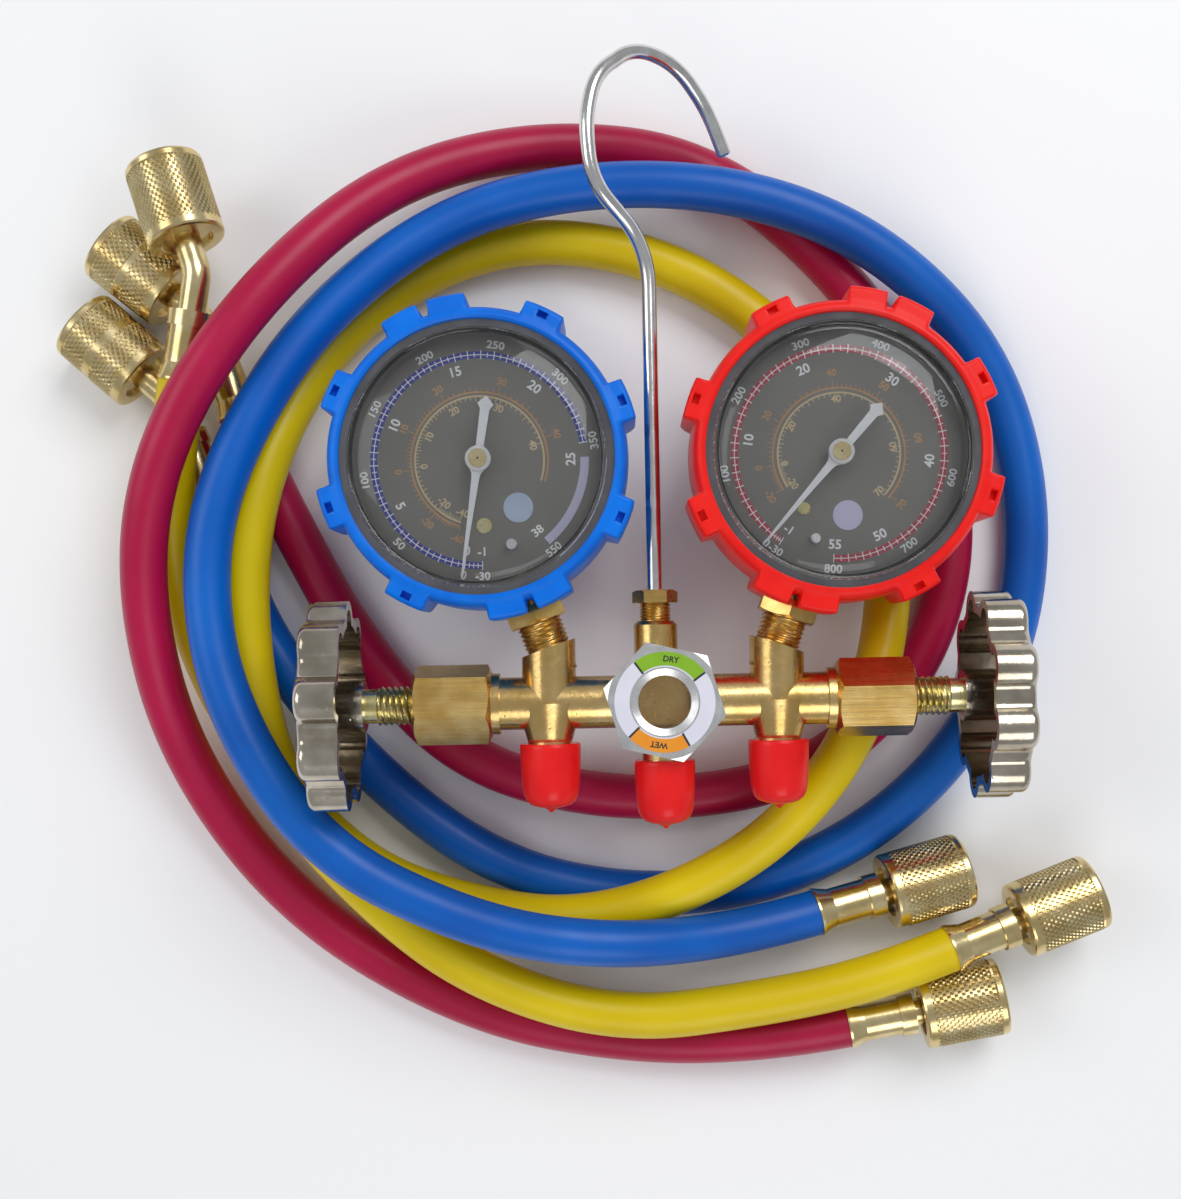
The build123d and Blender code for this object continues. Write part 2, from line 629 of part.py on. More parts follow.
    with BuildPart() as pointer:
        rod(dial_place, pointer_hub_radius, pointer_bottom, pointer_top)
        needle_place = dial_place.rotated((0, 0, zero_angle[name]))
        with BuildSketch(needle_place.offset(pointer_bottom)) as needle:
            with BuildLine():
                Polyline(
                    (pointer_tip_radius, pointer_tip_half_width), (0, pointer_root_half_width),
                    (-pointer_arrow_start, pointer_tail_half_width), (-pointer_arrow_start, pointer_arrow_half_width),
                    (-pointer_tail_radius, 0), (-pointer_arrow_start, -pointer_arrow_half_width),
                    (-pointer_arrow_start, -pointer_tail_half_width), (0, -pointer_root_half_width),
                    (pointer_tip_radius, -pointer_tip_half_width), close=True,
                )
            make_face()
        extrude(needle.sketch, amount=pointer_thickness)
        rod(dial_place, arbor_radius, pointer_bottom, pointer_top, mode=Mode.SUBTRACT)
    save(pointer, f"pointer_{name}")

    with BuildPart() as dial:
        rod(dial_place, case_radius - case_wall, dial_bottom, dial_bottom + dial_thickness)
        rod(dial_place, dial_hole_radius, dial_bottom, dial_bottom + dial_thickness, mode=Mode.SUBTRACT)
    save(dial, f"dial_{name}")

    with BuildPart() as lens:
        rod(dial_place, case_radius - case_wall, lens_bottom, lens_top)
    save(lens, f"gauge_lens_{name}")

# port caps: moulded vinyl sleeves with a closed end and a small sprue tip
caps = {"low": (-port_pitch, side_cap_top, side_port_reach), "centre": (0, centre_cap_top, centre_port_reach),
        "high": (port_pitch, side_cap_top, side_port_reach)}
for name, (offset, top, reach) in caps.items():
    place = port_place(offset)
    bottom = top + cap_length
    with BuildPart() as port_cap:
        turned(place, [
            (0, top), (cap_radius, top), (cap_radius, bottom - cap_edge_radius),
            (cap_radius - cap_edge_radius, bottom), (cap_nipple_radius, bottom),
            (cap_nipple_radius, bottom + cap_nipple_length), (0, bottom + cap_nipple_length),
        ])
        rod(place, port_radius + running_gap, top, max(reach + free_gap, bottom - cap_wall_end), mode=Mode.SUBTRACT)
    save(port_cap, f"port_cap_{name}")

# service hoses: tube, two crimped ferrules, a straight and a bent neck, and a swivel nut on each neck


# a place at a hose end: Z leaves the hose along its last run
def leaving(end_point, inner_point):
    end_spot, inner_spot = Vector(*end_point), Vector(*inner_point)
    return Plane(origin=end_spot, z_dir=(end_spot - inner_spot).normalized())


def add_ferrule(place):
    collar_start = ferrule_length - ferrule_collar_length
    turned(place, [
        (ferrule_bore_radius, 0), (ferrule_lip_radius, 0), (ferrule_lip_radius, 0.6),
        (ferrule_body_radius, 4.5), (ferrule_body_radius, collar_start),
        (ferrule_collar_radius, collar_start), (ferrule_collar_radius, ferrule_length),
        (ferrule_bore_radius, ferrule_length),
    ])


# a swivel nut whose neck face is at the place's origin
def add_nut(place):
    turned(place, [
        (neck_radius + running_gap, nut_recess_depth), (nut_recess_radius, nut_recess_depth),
        (nut_recess_radius, 0), (nut_radius - nut_rim_round, 0), (nut_radius, nut_rim_round),
        (nut_radius, nut_length - nut_rim_round), (nut_radius - nut_rim_round, nut_length),
        (nut_thread_radius, nut_length), (nut_thread_radius, nut_length - nut_thread_length),
        (nut_relief_radius, nut_length - nut_thread_length), (nut_relief_radius, nut_back_length),
        (neck_radius + running_gap, nut_back_length),
    ])


# the flange that holds the nut on its neck, and the seal in front of it
def add_flange(place):
    flange_start = nut_back_length + running_gap
    rod(place, neck_radius, 0, flange_start)
    rod(place, flange_radius, flange_start, flange_start + flange_thickness)


gasket_places = []
for name, points in hose_route.items():
    start_place = leaving(points[0], points[1])
    finish_place = leaving(points[-1], points[-2])

    with BuildPart() as hose:
        with BuildLine() as hose_line:
            FilletPolyline(*points, radius=corner_radii(points))
        with BuildSketch(Plane(origin=points[0], z_dir=hose_line.line % 0)) as hose_section:
            Circle(hose_radius)
        route = hose_line.wire()
        sweep(hose_section.sketch, path=route)
    save(hose, f"{name}_hose")
    print(name, "smallest arc", round(min(corner_radii(points)), 1), "length", round(route.length, 1),
          "volume over section times length",
          round(hose.part.volume / (pi * hose_radius ** 2 * route.length), 4))

    with BuildPart() as ferrules:
        add_ferrule(start_place)
        add_ferrule(finish_place)
    save(ferrules, f"{name}_ferrules")

    straight_nut_place = start_place.offset(ferrule_length + neck_gap)
    with BuildPart() as straight_neck:
        rod(start_place, ferrule_bore_radius - running_gap, 0, ferrule_length)
        rod(start_place, neck_radius, ferrule_length, ferrule_length + neck_gap)
        add_flange(straight_nut_place)
        rod(start_place, neck_bore_radius, 0, ferrule_length + neck_gap + nut_back_length + 4, mode=Mode.SUBTRACT)
    save(straight_neck, f"{name}_neck_straight")

    azimuth, slope = (radians(angle) for angle in elbow_direction[name])
    bent_direction = Vector(cos(azimuth) * cos(slope), sin(azimuth) * cos(slope), sin(slope))
    elbow_start = finish_place.origin + finish_place.z_dir * ferrule_length
    elbow_corner = elbow_start + finish_place.z_dir * elbow_first
    elbow_end = elbow_corner + bent_direction * elbow_second
    bent_nut_place = Plane(origin=elbow_end, z_dir=bent_direction)
    with BuildPart() as bent_neck:
        rod(finish_place, ferrule_bore_radius - running_gap, 0, ferrule_length)
        with BuildLine() as elbow_line:
            FilletPolyline(elbow_start, elbow_corner, elbow_end, radius=elbow_radius)
        with BuildSketch(Plane(origin=elbow_start, z_dir=elbow_line.line % 0)) as elbow_section:
            Circle(neck_radius)
        sweep(elbow_section.sketch, path=elbow_line.line)
        add_flange(bent_nut_place)
        with BuildSketch(Plane(origin=elbow_start, z_dir=elbow_line.line % 0)) as elbow_bore:
            Circle(neck_bore_radius)
        sweep(elbow_bore.sketch, path=elbow_line.line, mode=Mode.SUBTRACT)
        rod(finish_place, neck_bore_radius, 0, ferrule_length, mode=Mode.SUBTRACT)
        rod(bent_nut_place, neck_bore_radius, 0, nut_back_length + flange_thickness + 1, mode=Mode.SUBTRACT)
    save(bent_neck, f"{name}_neck_bent")

    for end, nut_place in (("straight", straight_nut_place), ("bent", bent_nut_place)):
        with BuildPart() as nut:
            add_nut(nut_place)
        save(nut, f"{name}_nut_{end}")
        gasket_places.append(nut_place)
        print(name, end, "nut at", [round(value, 4) for value in nut_place.origin],
              "axis", [round(value, 5) for value in nut_place.z_dir])

# seals inside the six nuts
with BuildPart() as hose_gaskets:
    for nut_place in gasket_places:
        gasket_start = nut_back_length + running_gap + flange_thickness
        rod(nut_place, gasket_outer_radius, gasket_start, gasket_start + gasket_thickness)
        rod(nut_place, gasket_inner_radius, gasket_start, gasket_start + gasket_thickness, mode=Mode.SUBTRACT)
save(hose_gaskets, "hose_gaskets")
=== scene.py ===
# Two-valve manifold with booted gauges, capped ports and three service hoses, seen from above
import bpy
import bmesh
import json
import math
from mathutils import Matrix, Vector


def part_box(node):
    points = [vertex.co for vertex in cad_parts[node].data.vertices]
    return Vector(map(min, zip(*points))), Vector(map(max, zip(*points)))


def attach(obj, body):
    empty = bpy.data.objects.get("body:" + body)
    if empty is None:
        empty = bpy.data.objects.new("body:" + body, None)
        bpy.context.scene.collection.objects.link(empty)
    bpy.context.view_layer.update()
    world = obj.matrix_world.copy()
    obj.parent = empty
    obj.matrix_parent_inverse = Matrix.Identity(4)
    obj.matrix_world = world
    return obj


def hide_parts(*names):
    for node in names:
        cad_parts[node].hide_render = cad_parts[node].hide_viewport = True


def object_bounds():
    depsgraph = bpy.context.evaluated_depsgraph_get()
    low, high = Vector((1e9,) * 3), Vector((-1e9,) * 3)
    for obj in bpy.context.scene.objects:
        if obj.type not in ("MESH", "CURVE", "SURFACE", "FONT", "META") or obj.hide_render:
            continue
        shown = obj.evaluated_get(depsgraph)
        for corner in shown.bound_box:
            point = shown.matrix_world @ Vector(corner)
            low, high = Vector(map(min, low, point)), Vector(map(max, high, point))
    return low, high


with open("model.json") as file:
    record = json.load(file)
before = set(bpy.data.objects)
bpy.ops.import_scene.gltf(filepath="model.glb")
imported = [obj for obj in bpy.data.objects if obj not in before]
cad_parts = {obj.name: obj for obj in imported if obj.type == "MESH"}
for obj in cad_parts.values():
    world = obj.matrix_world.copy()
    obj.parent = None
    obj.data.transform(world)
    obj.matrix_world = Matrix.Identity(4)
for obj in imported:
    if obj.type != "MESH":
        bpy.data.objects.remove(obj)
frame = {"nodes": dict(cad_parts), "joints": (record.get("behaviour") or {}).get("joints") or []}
cadLow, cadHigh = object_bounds()
nodes = frame["nodes"]
joints = {joint["name"]: joint for joint in frame["joints"]}
mm = 0.001

# the low side lies to the left, the high side to the right; places are read from the joints' axes
sideOf = {"low": -1, "high": 1}
barY = joints["low_handwheel_turn"]["pos_m"][1]
hookX = joints["hook_swivel"]["pos_m"][0]
gaugeCentre = {which: Vector(joints[f"{which}_pointer_turn"]["pos_m"]) for which in sideOf}
boss = {"pitch": 28.5, "reach": 13.75}  # a gauge's boss stands this far out along the bar and above its axis


def direction(angle):
    return Vector((math.cos(math.radians(angle)), math.sin(math.radians(angle)), 0))


def placeAt(origin, axis, across=None):  # Z runs along the axis and X as near as it can to across
    axis = Vector(axis).normalized()
    across = Vector(across) if across else (Vector((0, 0, 1)) if abs(axis.z) < 0.9 else Vector((1, 0, 0)))
    across = (across - axis * across.dot(axis)).normalized()
    third = axis.cross(across)
    turn = Matrix((across, third, axis)).transposed().to_4x4()
    return Matrix.Translation(Vector(origin)) @ turn


def bossFace(which):
    return Vector((sideOf[which] * boss["pitch"] * mm, barY + boss["reach"] * mm, 0))


def stemUp(which):  # from the boss's face to the gauge's centre
    return (gaugeCentre[which] - bossFace(which)).normalized()


print("stage: frame loaded, lowest and highest corners", tuple(cadLow), tuple(cadHigh))


# node groups that several finishes share
def newGroup(name, inputs, outputs):
    group = bpy.data.node_groups.new(name, "ShaderNodeTree")
    for label, kind, value in inputs:
        socket = group.interface.new_socket(label, in_out="INPUT", socket_type=kind)
        socket.default_value = value
    for label, kind in outputs:
        group.interface.new_socket(label, in_out="OUTPUT", socket_type=kind)
    return group, group.nodes.new("NodeGroupInput"), group.nodes.new("NodeGroupOutput")


# cloudy patches and fine grain in object space; Stretch squeezes the grain into streaks
def makeGrainGroup():
    group, given, put = newGroup(
        "grainAndPatch",
        [("Scale", "NodeSocketFloat", 300.0), ("Stretch", "NodeSocketVector", (1, 1, 1)),
         ("Detail", "NodeSocketFloat", 4.0)],
        [("Patch", "NodeSocketFloat"), ("Grain", "NodeSocketFloat")],
    )
    where = group.nodes.new("ShaderNodeTexCoord")
    squeeze = group.nodes.new("ShaderNodeVectorMath")
    squeeze.operation = "MULTIPLY"
    patch = group.nodes.new("ShaderNodeTexNoise")
    grain = group.nodes.new("ShaderNodeTexNoise")
    finer = group.nodes.new("ShaderNodeMath")
    finer.operation = "MULTIPLY"
    finer.inputs[1].default_value = 7.0  # the grain is this many times finer than the patches
    link = group.links.new
    link(where.outputs["Object"], squeeze.inputs[0])
    link(given.outputs["Stretch"], squeeze.inputs[1])
    link(squeeze.outputs[0], grain.inputs["Vector"])
    link(where.outputs["Object"], patch.inputs["Vector"])
    link(given.outputs["Scale"], patch.inputs["Scale"])
    link(given.outputs["Scale"], finer.inputs[0])
    link(finer.outputs[0], grain.inputs["Scale"])
    link(given.outputs["Detail"], grain.inputs["Detail"])
    link(patch.outputs["Fac"], put.inputs["Patch"])
    link(grain.outputs["Fac"], put.inputs["Grain"])
    return group


# scattered small pits, such as a casting or a plated surface has
def makePitGroup():
    group, given, put = newGroup(
        "scatteredPits", [("Scale", "NodeSocketFloat", 900.0), ("Size", "NodeSocketFloat", 0.2)],
        [("Pits", "NodeSocketFloat")],
    )
    where = group.nodes.new("ShaderNodeTexCoord")
    cells = group.nodes.new("ShaderNodeTexVoronoi")
    edge = group.nodes.new("ShaderNodeMapRange")
    link = group.links.new
    link(where.outputs["Object"], cells.inputs["Vector"])
    link(given.outputs["Scale"], cells.inputs["Scale"])
    link(cells.outputs["Distance"], edge.inputs["Value"])
    link(given.outputs["Size"], edge.inputs["From Max"])
    link(edge.outputs["Result"], put.inputs["Pits"])
    return group


grainGroup = makeGrainGroup()
pitGroup = makePitGroup()


# color and second mix in cloudy patches, rough is the range of roughness, pits is their scale and size
def surface(look):
    material = bpy.data.materials.new(look["name"])
    material.use_nodes = True
    tree = material.node_tree
    link = tree.links.new
    shader = tree.nodes["Principled BSDF"]
    shader.inputs["Metallic"].default_value = look.get("metallic", 0.0)
    shader.inputs["IOR"].default_value = look.get("ior", 1.5)
    shader.inputs["Coat Weight"].default_value = look.get("coat", 0.0)
    shader.inputs["Coat Roughness"].default_value = look.get("coatRough", 0.1)
    shader.inputs["Specular IOR Level"].default_value = look.get("specular", 0.5)
    grain = tree.nodes.new("ShaderNodeGroup")
    grain.node_tree = grainGroup
    grain.inputs["Scale"].default_value = look.get("scale", 120.0)
    grain.inputs["Stretch"].default_value = look.get("stretch", (1, 1, 1))
    mix = tree.nodes.new("ShaderNodeMix")
    mix.data_type = "RGBA"
    mix.inputs[6].default_value = (*look["color"], 1)
    mix.inputs[7].default_value = (*look.get("second", look["color"]), 1)
    spread = tree.nodes.new("ShaderNodeMapRange")
    spread.inputs["From Min"].default_value = 0.35
    spread.inputs["From Max"].default_value = 0.68
    link(grain.outputs["Patch"], spread.inputs["Value"])
    link(spread.outputs["Result"], mix.inputs[0])
    link(mix.outputs[2], shader.inputs["Base Color"])
    rough = tree.nodes.new("ShaderNodeMapRange")
    rough.inputs["To Min"].default_value, rough.inputs["To Max"].default_value = look["rough"]
    link(grain.outputs["Grain"], rough.inputs["Value"])
    link(rough.outputs["Result"], shader.inputs["Roughness"])
    bump = tree.nodes.new("ShaderNodeBump")
    bump.inputs["Strength"].default_value = look.get("bump", 0.15)
    bump.inputs["Distance"].default_value = look.get("depth", 0.0001)
    link(bump.outputs["Normal"], shader.inputs["Normal"])
    if look.get("pits"):
        pits = tree.nodes.new("ShaderNodeGroup")
        pits.node_tree = pitGroup
        pits.inputs["Scale"].default_value, pits.inputs["Size"].default_value = look["pits"]
        both = tree.nodes.new("ShaderNodeMath")
        both.operation = "ADD"
        link(pits.outputs["Pits"], both.inputs[0])
        link(grain.outputs["Grain"], both.inputs[1])
        link(both.outputs[0], bump.inputs["Height"])
    else:
        link(grain.outputs["Grain"], bump.inputs["Height"])
    return material


looks = {
    "castBrass": {"color": (0.64, 0.41, 0.13), "second": (0.78, 0.56, 0.25), "metallic": 1.0,
                  "rough": (0.16, 0.34), "scale": 90.0, "bump": 0.35, "depth": 0.00012,
                  "pits": (420.0, 0.18)},
    "turnedBrass": {"color": (0.58, 0.36, 0.10), "second": (0.74, 0.52, 0.20), "metallic": 1.0,
                    "rough": (0.20, 0.36), "scale": 160.0, "stretch": (0.05, 1, 1), "bump": 0.35,
                    "depth": 0.00008},
    "paleBrass": {"color": (0.66, 0.50, 0.22), "second": (0.82, 0.68, 0.38), "metallic": 1.0,
                  "rough": (0.14, 0.30), "scale": 150.0, "bump": 0.12},
    "platedZinc": {"color": (0.42, 0.37, 0.29), "second": (0.64, 0.58, 0.48), "metallic": 1.0,
                   "rough": (0.10, 0.26), "scale": 110.0, "bump": 0.25, "depth": 0.00015,
                   "pits": (300.0, 0.12)},
    "yellowZinc": {"color": (0.62, 0.52, 0.20), "second": (0.76, 0.70, 0.42), "metallic": 1.0,
                   "rough": (0.18, 0.34), "scale": 200.0, "bump": 0.15},
    "chromeWire": {"color": (0.62, 0.61, 0.59), "second": (0.76, 0.75, 0.73), "metallic": 1.0,
                   "rough": (0.14, 0.26), "scale": 220.0, "bump": 0.1},
    "satinPlate": {"color": (0.72, 0.71, 0.70), "second": (0.86, 0.85, 0.84), "metallic": 1.0,
                   "rough": (0.22, 0.38), "scale": 240.0, "bump": 0.12},
    "movementBronze": {"color": (0.58, 0.36, 0.15), "second": (0.70, 0.48, 0.24), "metallic": 1.0,
                       "rough": (0.25, 0.4)},
    "redVinyl": {"color": (0.80, 0.008, 0.010), "second": (0.88, 0.014, 0.014), "rough": (0.24, 0.38),
                 "coat": 0.1, "specular": 0.25, "scale": 90.0, "bump": 0.06},
    "blueRubber": {"color": (0.0, 0.15, 0.72), "second": (0.0, 0.19, 0.84), "specular": 0.22,
                   "rough": (0.3, 0.44), "scale": 110.0, "bump": 0.22, "depth": 0.00006},
    "redRubber": {"color": (0.88, 0.010, 0.008), "second": (0.96, 0.018, 0.012), "specular": 0.22,
                  "rough": (0.3, 0.44), "scale": 110.0, "bump": 0.22, "depth": 0.00006},
    "redHose": {"color": (0.40, 0.003, 0.045), "second": (0.52, 0.006, 0.07), "rough": (0.30, 0.44),
                "scale": 26.0, "bump": 0.08, "specular": 0.3, "coat": 0.08, "coatRough": 0.35},
    "blueHose": {"color": (0.0, 0.095, 0.46), "second": (0.0, 0.14, 0.60), "rough": (0.30, 0.44),
                 "scale": 26.0, "bump": 0.08, "specular": 0.3, "coat": 0.08, "coatRough": 0.35},
    "yellowHose": {"color": (0.72, 0.52, 0.0), "second": (0.84, 0.64, 0.002), "rough": (0.30, 0.44),
                   "scale": 26.0, "bump": 0.08, "specular": 0.3, "coat": 0.08, "coatRough": 0.35},
    "sealRubber": {"color": (0.02, 0.02, 0.02), "second": (0.035, 0.035, 0.035), "rough": (0.5, 0.65)},
    "seatPlastic": {"color": (0.78, 0.77, 0.72), "second": (0.84, 0.83, 0.79), "rough": (0.4, 0.5)},
    "dialGrey": {"color": (0.195, 0.182, 0.162), "second": (0.212, 0.199, 0.178), "rough": (0.4, 0.55),
                 "scale": 60.0},
    "whiteInk": {"color": (0.86, 0.86, 0.85), "second": (0.9, 0.9, 0.89), "rough": (0.4, 0.5)},
    "blueInk": {"color": (0.03, 0.045, 0.36), "second": (0.04, 0.06, 0.42), "rough": (0.4, 0.5)},
    "redInk": {"color": (0.46, 0.035, 0.055), "second": (0.52, 0.045, 0.07), "rough": (0.4, 0.5)},
    "orangeInk": {"color": (0.50, 0.27, 0.12), "second": (0.56, 0.31, 0.14), "rough": (0.4, 0.5)},
    "paleYellowInk": {"color": (0.62, 0.48, 0.26), "second": (0.66, 0.52, 0.30), "rough": (0.4, 0.5)},
    "lavenderInk": {"color": (0.58, 0.55, 0.74), "second": (0.62, 0.60, 0.78), "rough": (0.4, 0.5)},
    "darkInk": {"color": (0.02, 0.02, 0.02), "second": (0.03, 0.03, 0.03), "rough": (0.4, 0.5)},
    "greenInk": {"color": (0.22, 0.45, 0.012), "second": (0.26, 0.50, 0.016), "rough": (0.35, 0.45)},
    "amberInk": {"color": (0.84, 0.28, 0.012), "second": (0.88, 0.32, 0.016), "rough": (0.35, 0.45)},
    "paleLabel": {"color": (0.74, 0.73, 0.83), "second": (0.80, 0.79, 0.88), "rough": (0.3, 0.42)},
    "whiteEnamel": {"color": (0.76, 0.76, 0.77), "second": (0.82, 0.82, 0.83), "rough": (0.3, 0.42)},
    "smokedRim": {"color": (0.11, 0.11, 0.12), "second": (0.16, 0.16, 0.17), "metallic": 0.6,
                  "rough": (0.1, 0.2), "coat": 0.6, "coatRough": 0.05},
    "bluePlug": {"color": (0.42, 0.52, 0.66), "second": (0.50, 0.60, 0.74), "rough": (0.25, 0.4)},
}
materials = {name: surface({"name": name, **look}) for name, look in looks.items()}
glassLooks = {
    "clearLens": {"tint": (0.97, 0.98, 0.99), "ior": 1.45, "haze": 0.05},
    "sightGlass": {"tint": (0.93, 0.90, 0.82), "ior": 1.45, "haze": 0.05},
}


def clearGlass(name, look):
    material = bpy.data.materials.new(name)
    material.use_nodes = True
    tree = material.node_tree
    shader = tree.nodes["Principled BSDF"]
    shader.inputs["Base Color"].default_value = (*look["tint"], 1)
    shader.inputs["Transmission Weight"].default_value = 1.0
    shader.inputs["IOR"].default_value = look["ior"]
    haze = tree.nodes.new("ShaderNodeGroup")
    haze.node_tree = grainGroup
    haze.inputs["Scale"].default_value = 90.0
    rough = tree.nodes.new("ShaderNodeMapRange")
    rough.inputs["To Min"].default_value = 0.0
    rough.inputs["To Max"].default_value = look["haze"]
    tree.links.new(haze.outputs["Patch"], rough.inputs["Value"])
    tree.links.new(rough.outputs["Result"], shader.inputs["Roughness"])
    return material


for name, look in glassLooks.items():
    materials[name] = clearGlass(name, look)
print("stage: finishes made", len(materials))


# mesh helpers: all sizes in millimetres, meshes placed in metres
def finishPiece(name, mesh, body, materialNames, place, sharp=32.0):
    mesh.transform(Matrix.Scale(mm, 4))
    mesh.transform(place)
    for materialName in materialNames:
        mesh.materials.append(materials[materialName])
    mesh.polygons.foreach_set("use_smooth", [True] * len(mesh.polygons))
    mesh.set_sharp_from_angle(angle=math.radians(sharp))
    piece = bpy.data.objects.new(name, mesh)
    bpy.context.scene.collection.objects.link(piece)
    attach(piece, body)
    return piece


def meshFrom(form, name):
    mesh = bpy.data.meshes.new(name)
    form.to_mesh(mesh)
    form.free()
    return mesh


# a form turned round Z: shape(index, radius, height, angle) may change each point
def turnedMesh(name, profile, count, shape=None):
    form = bmesh.new()
    rings = []
    for step in range(count):
        angle = 2 * math.pi * step / count
        ring = []
        for index, (radius, height) in enumerate(profile):
            if shape:
                radius, height = shape(index, radius, height, angle)
            ring.append(form.verts.new((radius * math.cos(angle), radius * math.sin(angle), height)))
        rings.append(ring)
    for step in range(count):
        here, there = rings[step], rings[(step + 1) % count]
        for index in range(len(profile)):
            after = (index + 1) % len(profile)
            form.faces.new((here[index], there[index], there[after], here[after]))
    bmesh.ops.remove_doubles(form, verts=form.verts, dist=1e-5)
    bmesh.ops.dissolve_degenerate(form, dist=1e-6, edges=form.edges)
    bmesh.ops.recalc_face_normals(form, faces=form.faces)
    return meshFrom(form, name)


def smoothStep(low, high, value):
    share = min(1.0, max(0.0, (value - low) / (high - low)))
    return share * share * (3 - 2 * share)


def evenRows(start, end, rowHeight):  # how many rows fit between two heights, and their exact spacing
    rows = int((end - start) / rowHeight)
    return rows, (end - start) / rows


def threadRidge(height, angle, pitch, steepness):  # 0 in the groove, 1 on the crest
    phase = (height / pitch - angle / (2 * math.pi)) % 1
    return min(1.0, steepness * min(phase, 1 - phase))


# the viewpoint: place in millimetres, lens and principal point in the picture's own pixels
view = {"x": -11.4, "y": 42.1, "height": 410.0, "turn": -1.1, "focal": 1640.0, "nadirX": 617.0,
        "nadirY": 650.0, "imageWidth": 1181, "imageHeight": 1199, "sensor": 36.0}


def makeCamera():
    lens = bpy.data.cameras.new("viewpoint")
    longSide = max(view["imageWidth"], view["imageHeight"])
    lens.sensor_width = view["sensor"]
    lens.lens = view["focal"] * view["sensor"] / longSide
    lens.shift_x = (view["imageWidth"] / 2 - view["nadirX"]) / longSide
    lens.shift_y = (view["nadirY"] - view["imageHeight"] / 2) / longSide
    lens.clip_start, lens.clip_end = 0.01, 20
    camera = bpy.data.objects.new("viewpoint", lens)
    camera.location = (view["x"] * mm, view["y"] * mm, view["height"] * mm)
    camera.rotation_euler = (0, 0, math.radians(view["turn"]))
    bpy.context.scene.collection.objects.link(camera)
    bpy.context.scene.camera = camera


lamps = [
    {"name": "keyPanel", "at": (0.45, 0.75, 0.95), "aim": (0, 0.06, 0), "size": 0.7, "power": 7.0},
    {"name": "leftPanel", "at": (-0.8, 0.3, 0.7), "aim": (0, 0.06, 0), "size": 0.6, "power": 2.4},
    {"name": "frontPanel", "at": (0.15, -0.8, 0.75), "aim": (0, 0.06, 0), "size": 0.6, "power": 2.6},
]
roomLight = {"color": (0.92, 0.95, 1.0), "strength": 0.42}


def makeLights():
    for lamp in lamps:
        data = bpy.data.lights.new(lamp["name"], "AREA")
        data.shape = "SQUARE"
        data.size = lamp["size"]
        data.energy = lamp["power"]
        light = bpy.data.objects.new(lamp["name"], data)
        light.location = lamp["at"]
        beam = Vector(lamp["aim"]) - Vector(lamp["at"])
        light.rotation_euler = beam.to_track_quat("-Z", "Y").to_euler()
        bpy.context.scene.collection.objects.link(light)
    world = bpy.data.worlds.new("studio")
    world.use_nodes = True
    sky = world.node_tree.nodes["Background"]
    sky.inputs["Color"].default_value = (*roomLight["color"], 1)
    sky.inputs["Strength"].default_value = roomLight["strength"]
    bpy.context.scene.world = world


floorSheet = {
    "reach": 3.0, "gap": 0.02 * mm,  # metres each way, and just below the lowest fitting
    "finish": {"name": "paleCard", "color": (0.97, 0.97, 0.975), "second": (0.985, 0.985, 0.985),
               "rough": (0.5, 0.6), "scale": 3.0, "bump": 0.02},
}


def makeFloor():
    sheet = bpy.data.meshes.new("paleFloor")
    reach, level = floorSheet["reach"], cadLow.z - floorSheet["gap"]
    sheet.from_pydata([(-reach, -reach, level), (reach, -reach, level), (reach, reach, level),
                       (-reach, reach, level)], [], [(0, 1, 2, 3)])
    floor = bpy.data.objects.new("paleFloor", sheet)
    bpy.context.scene.collection.objects.link(floor)
    sheet.materials.append(surface(floorSheet["finish"]))


makeCamera()
makeLights()
makeFloor()
bpy.context.scene.view_settings.view_transform = "Standard"
print("stage: camera, light and floor made")

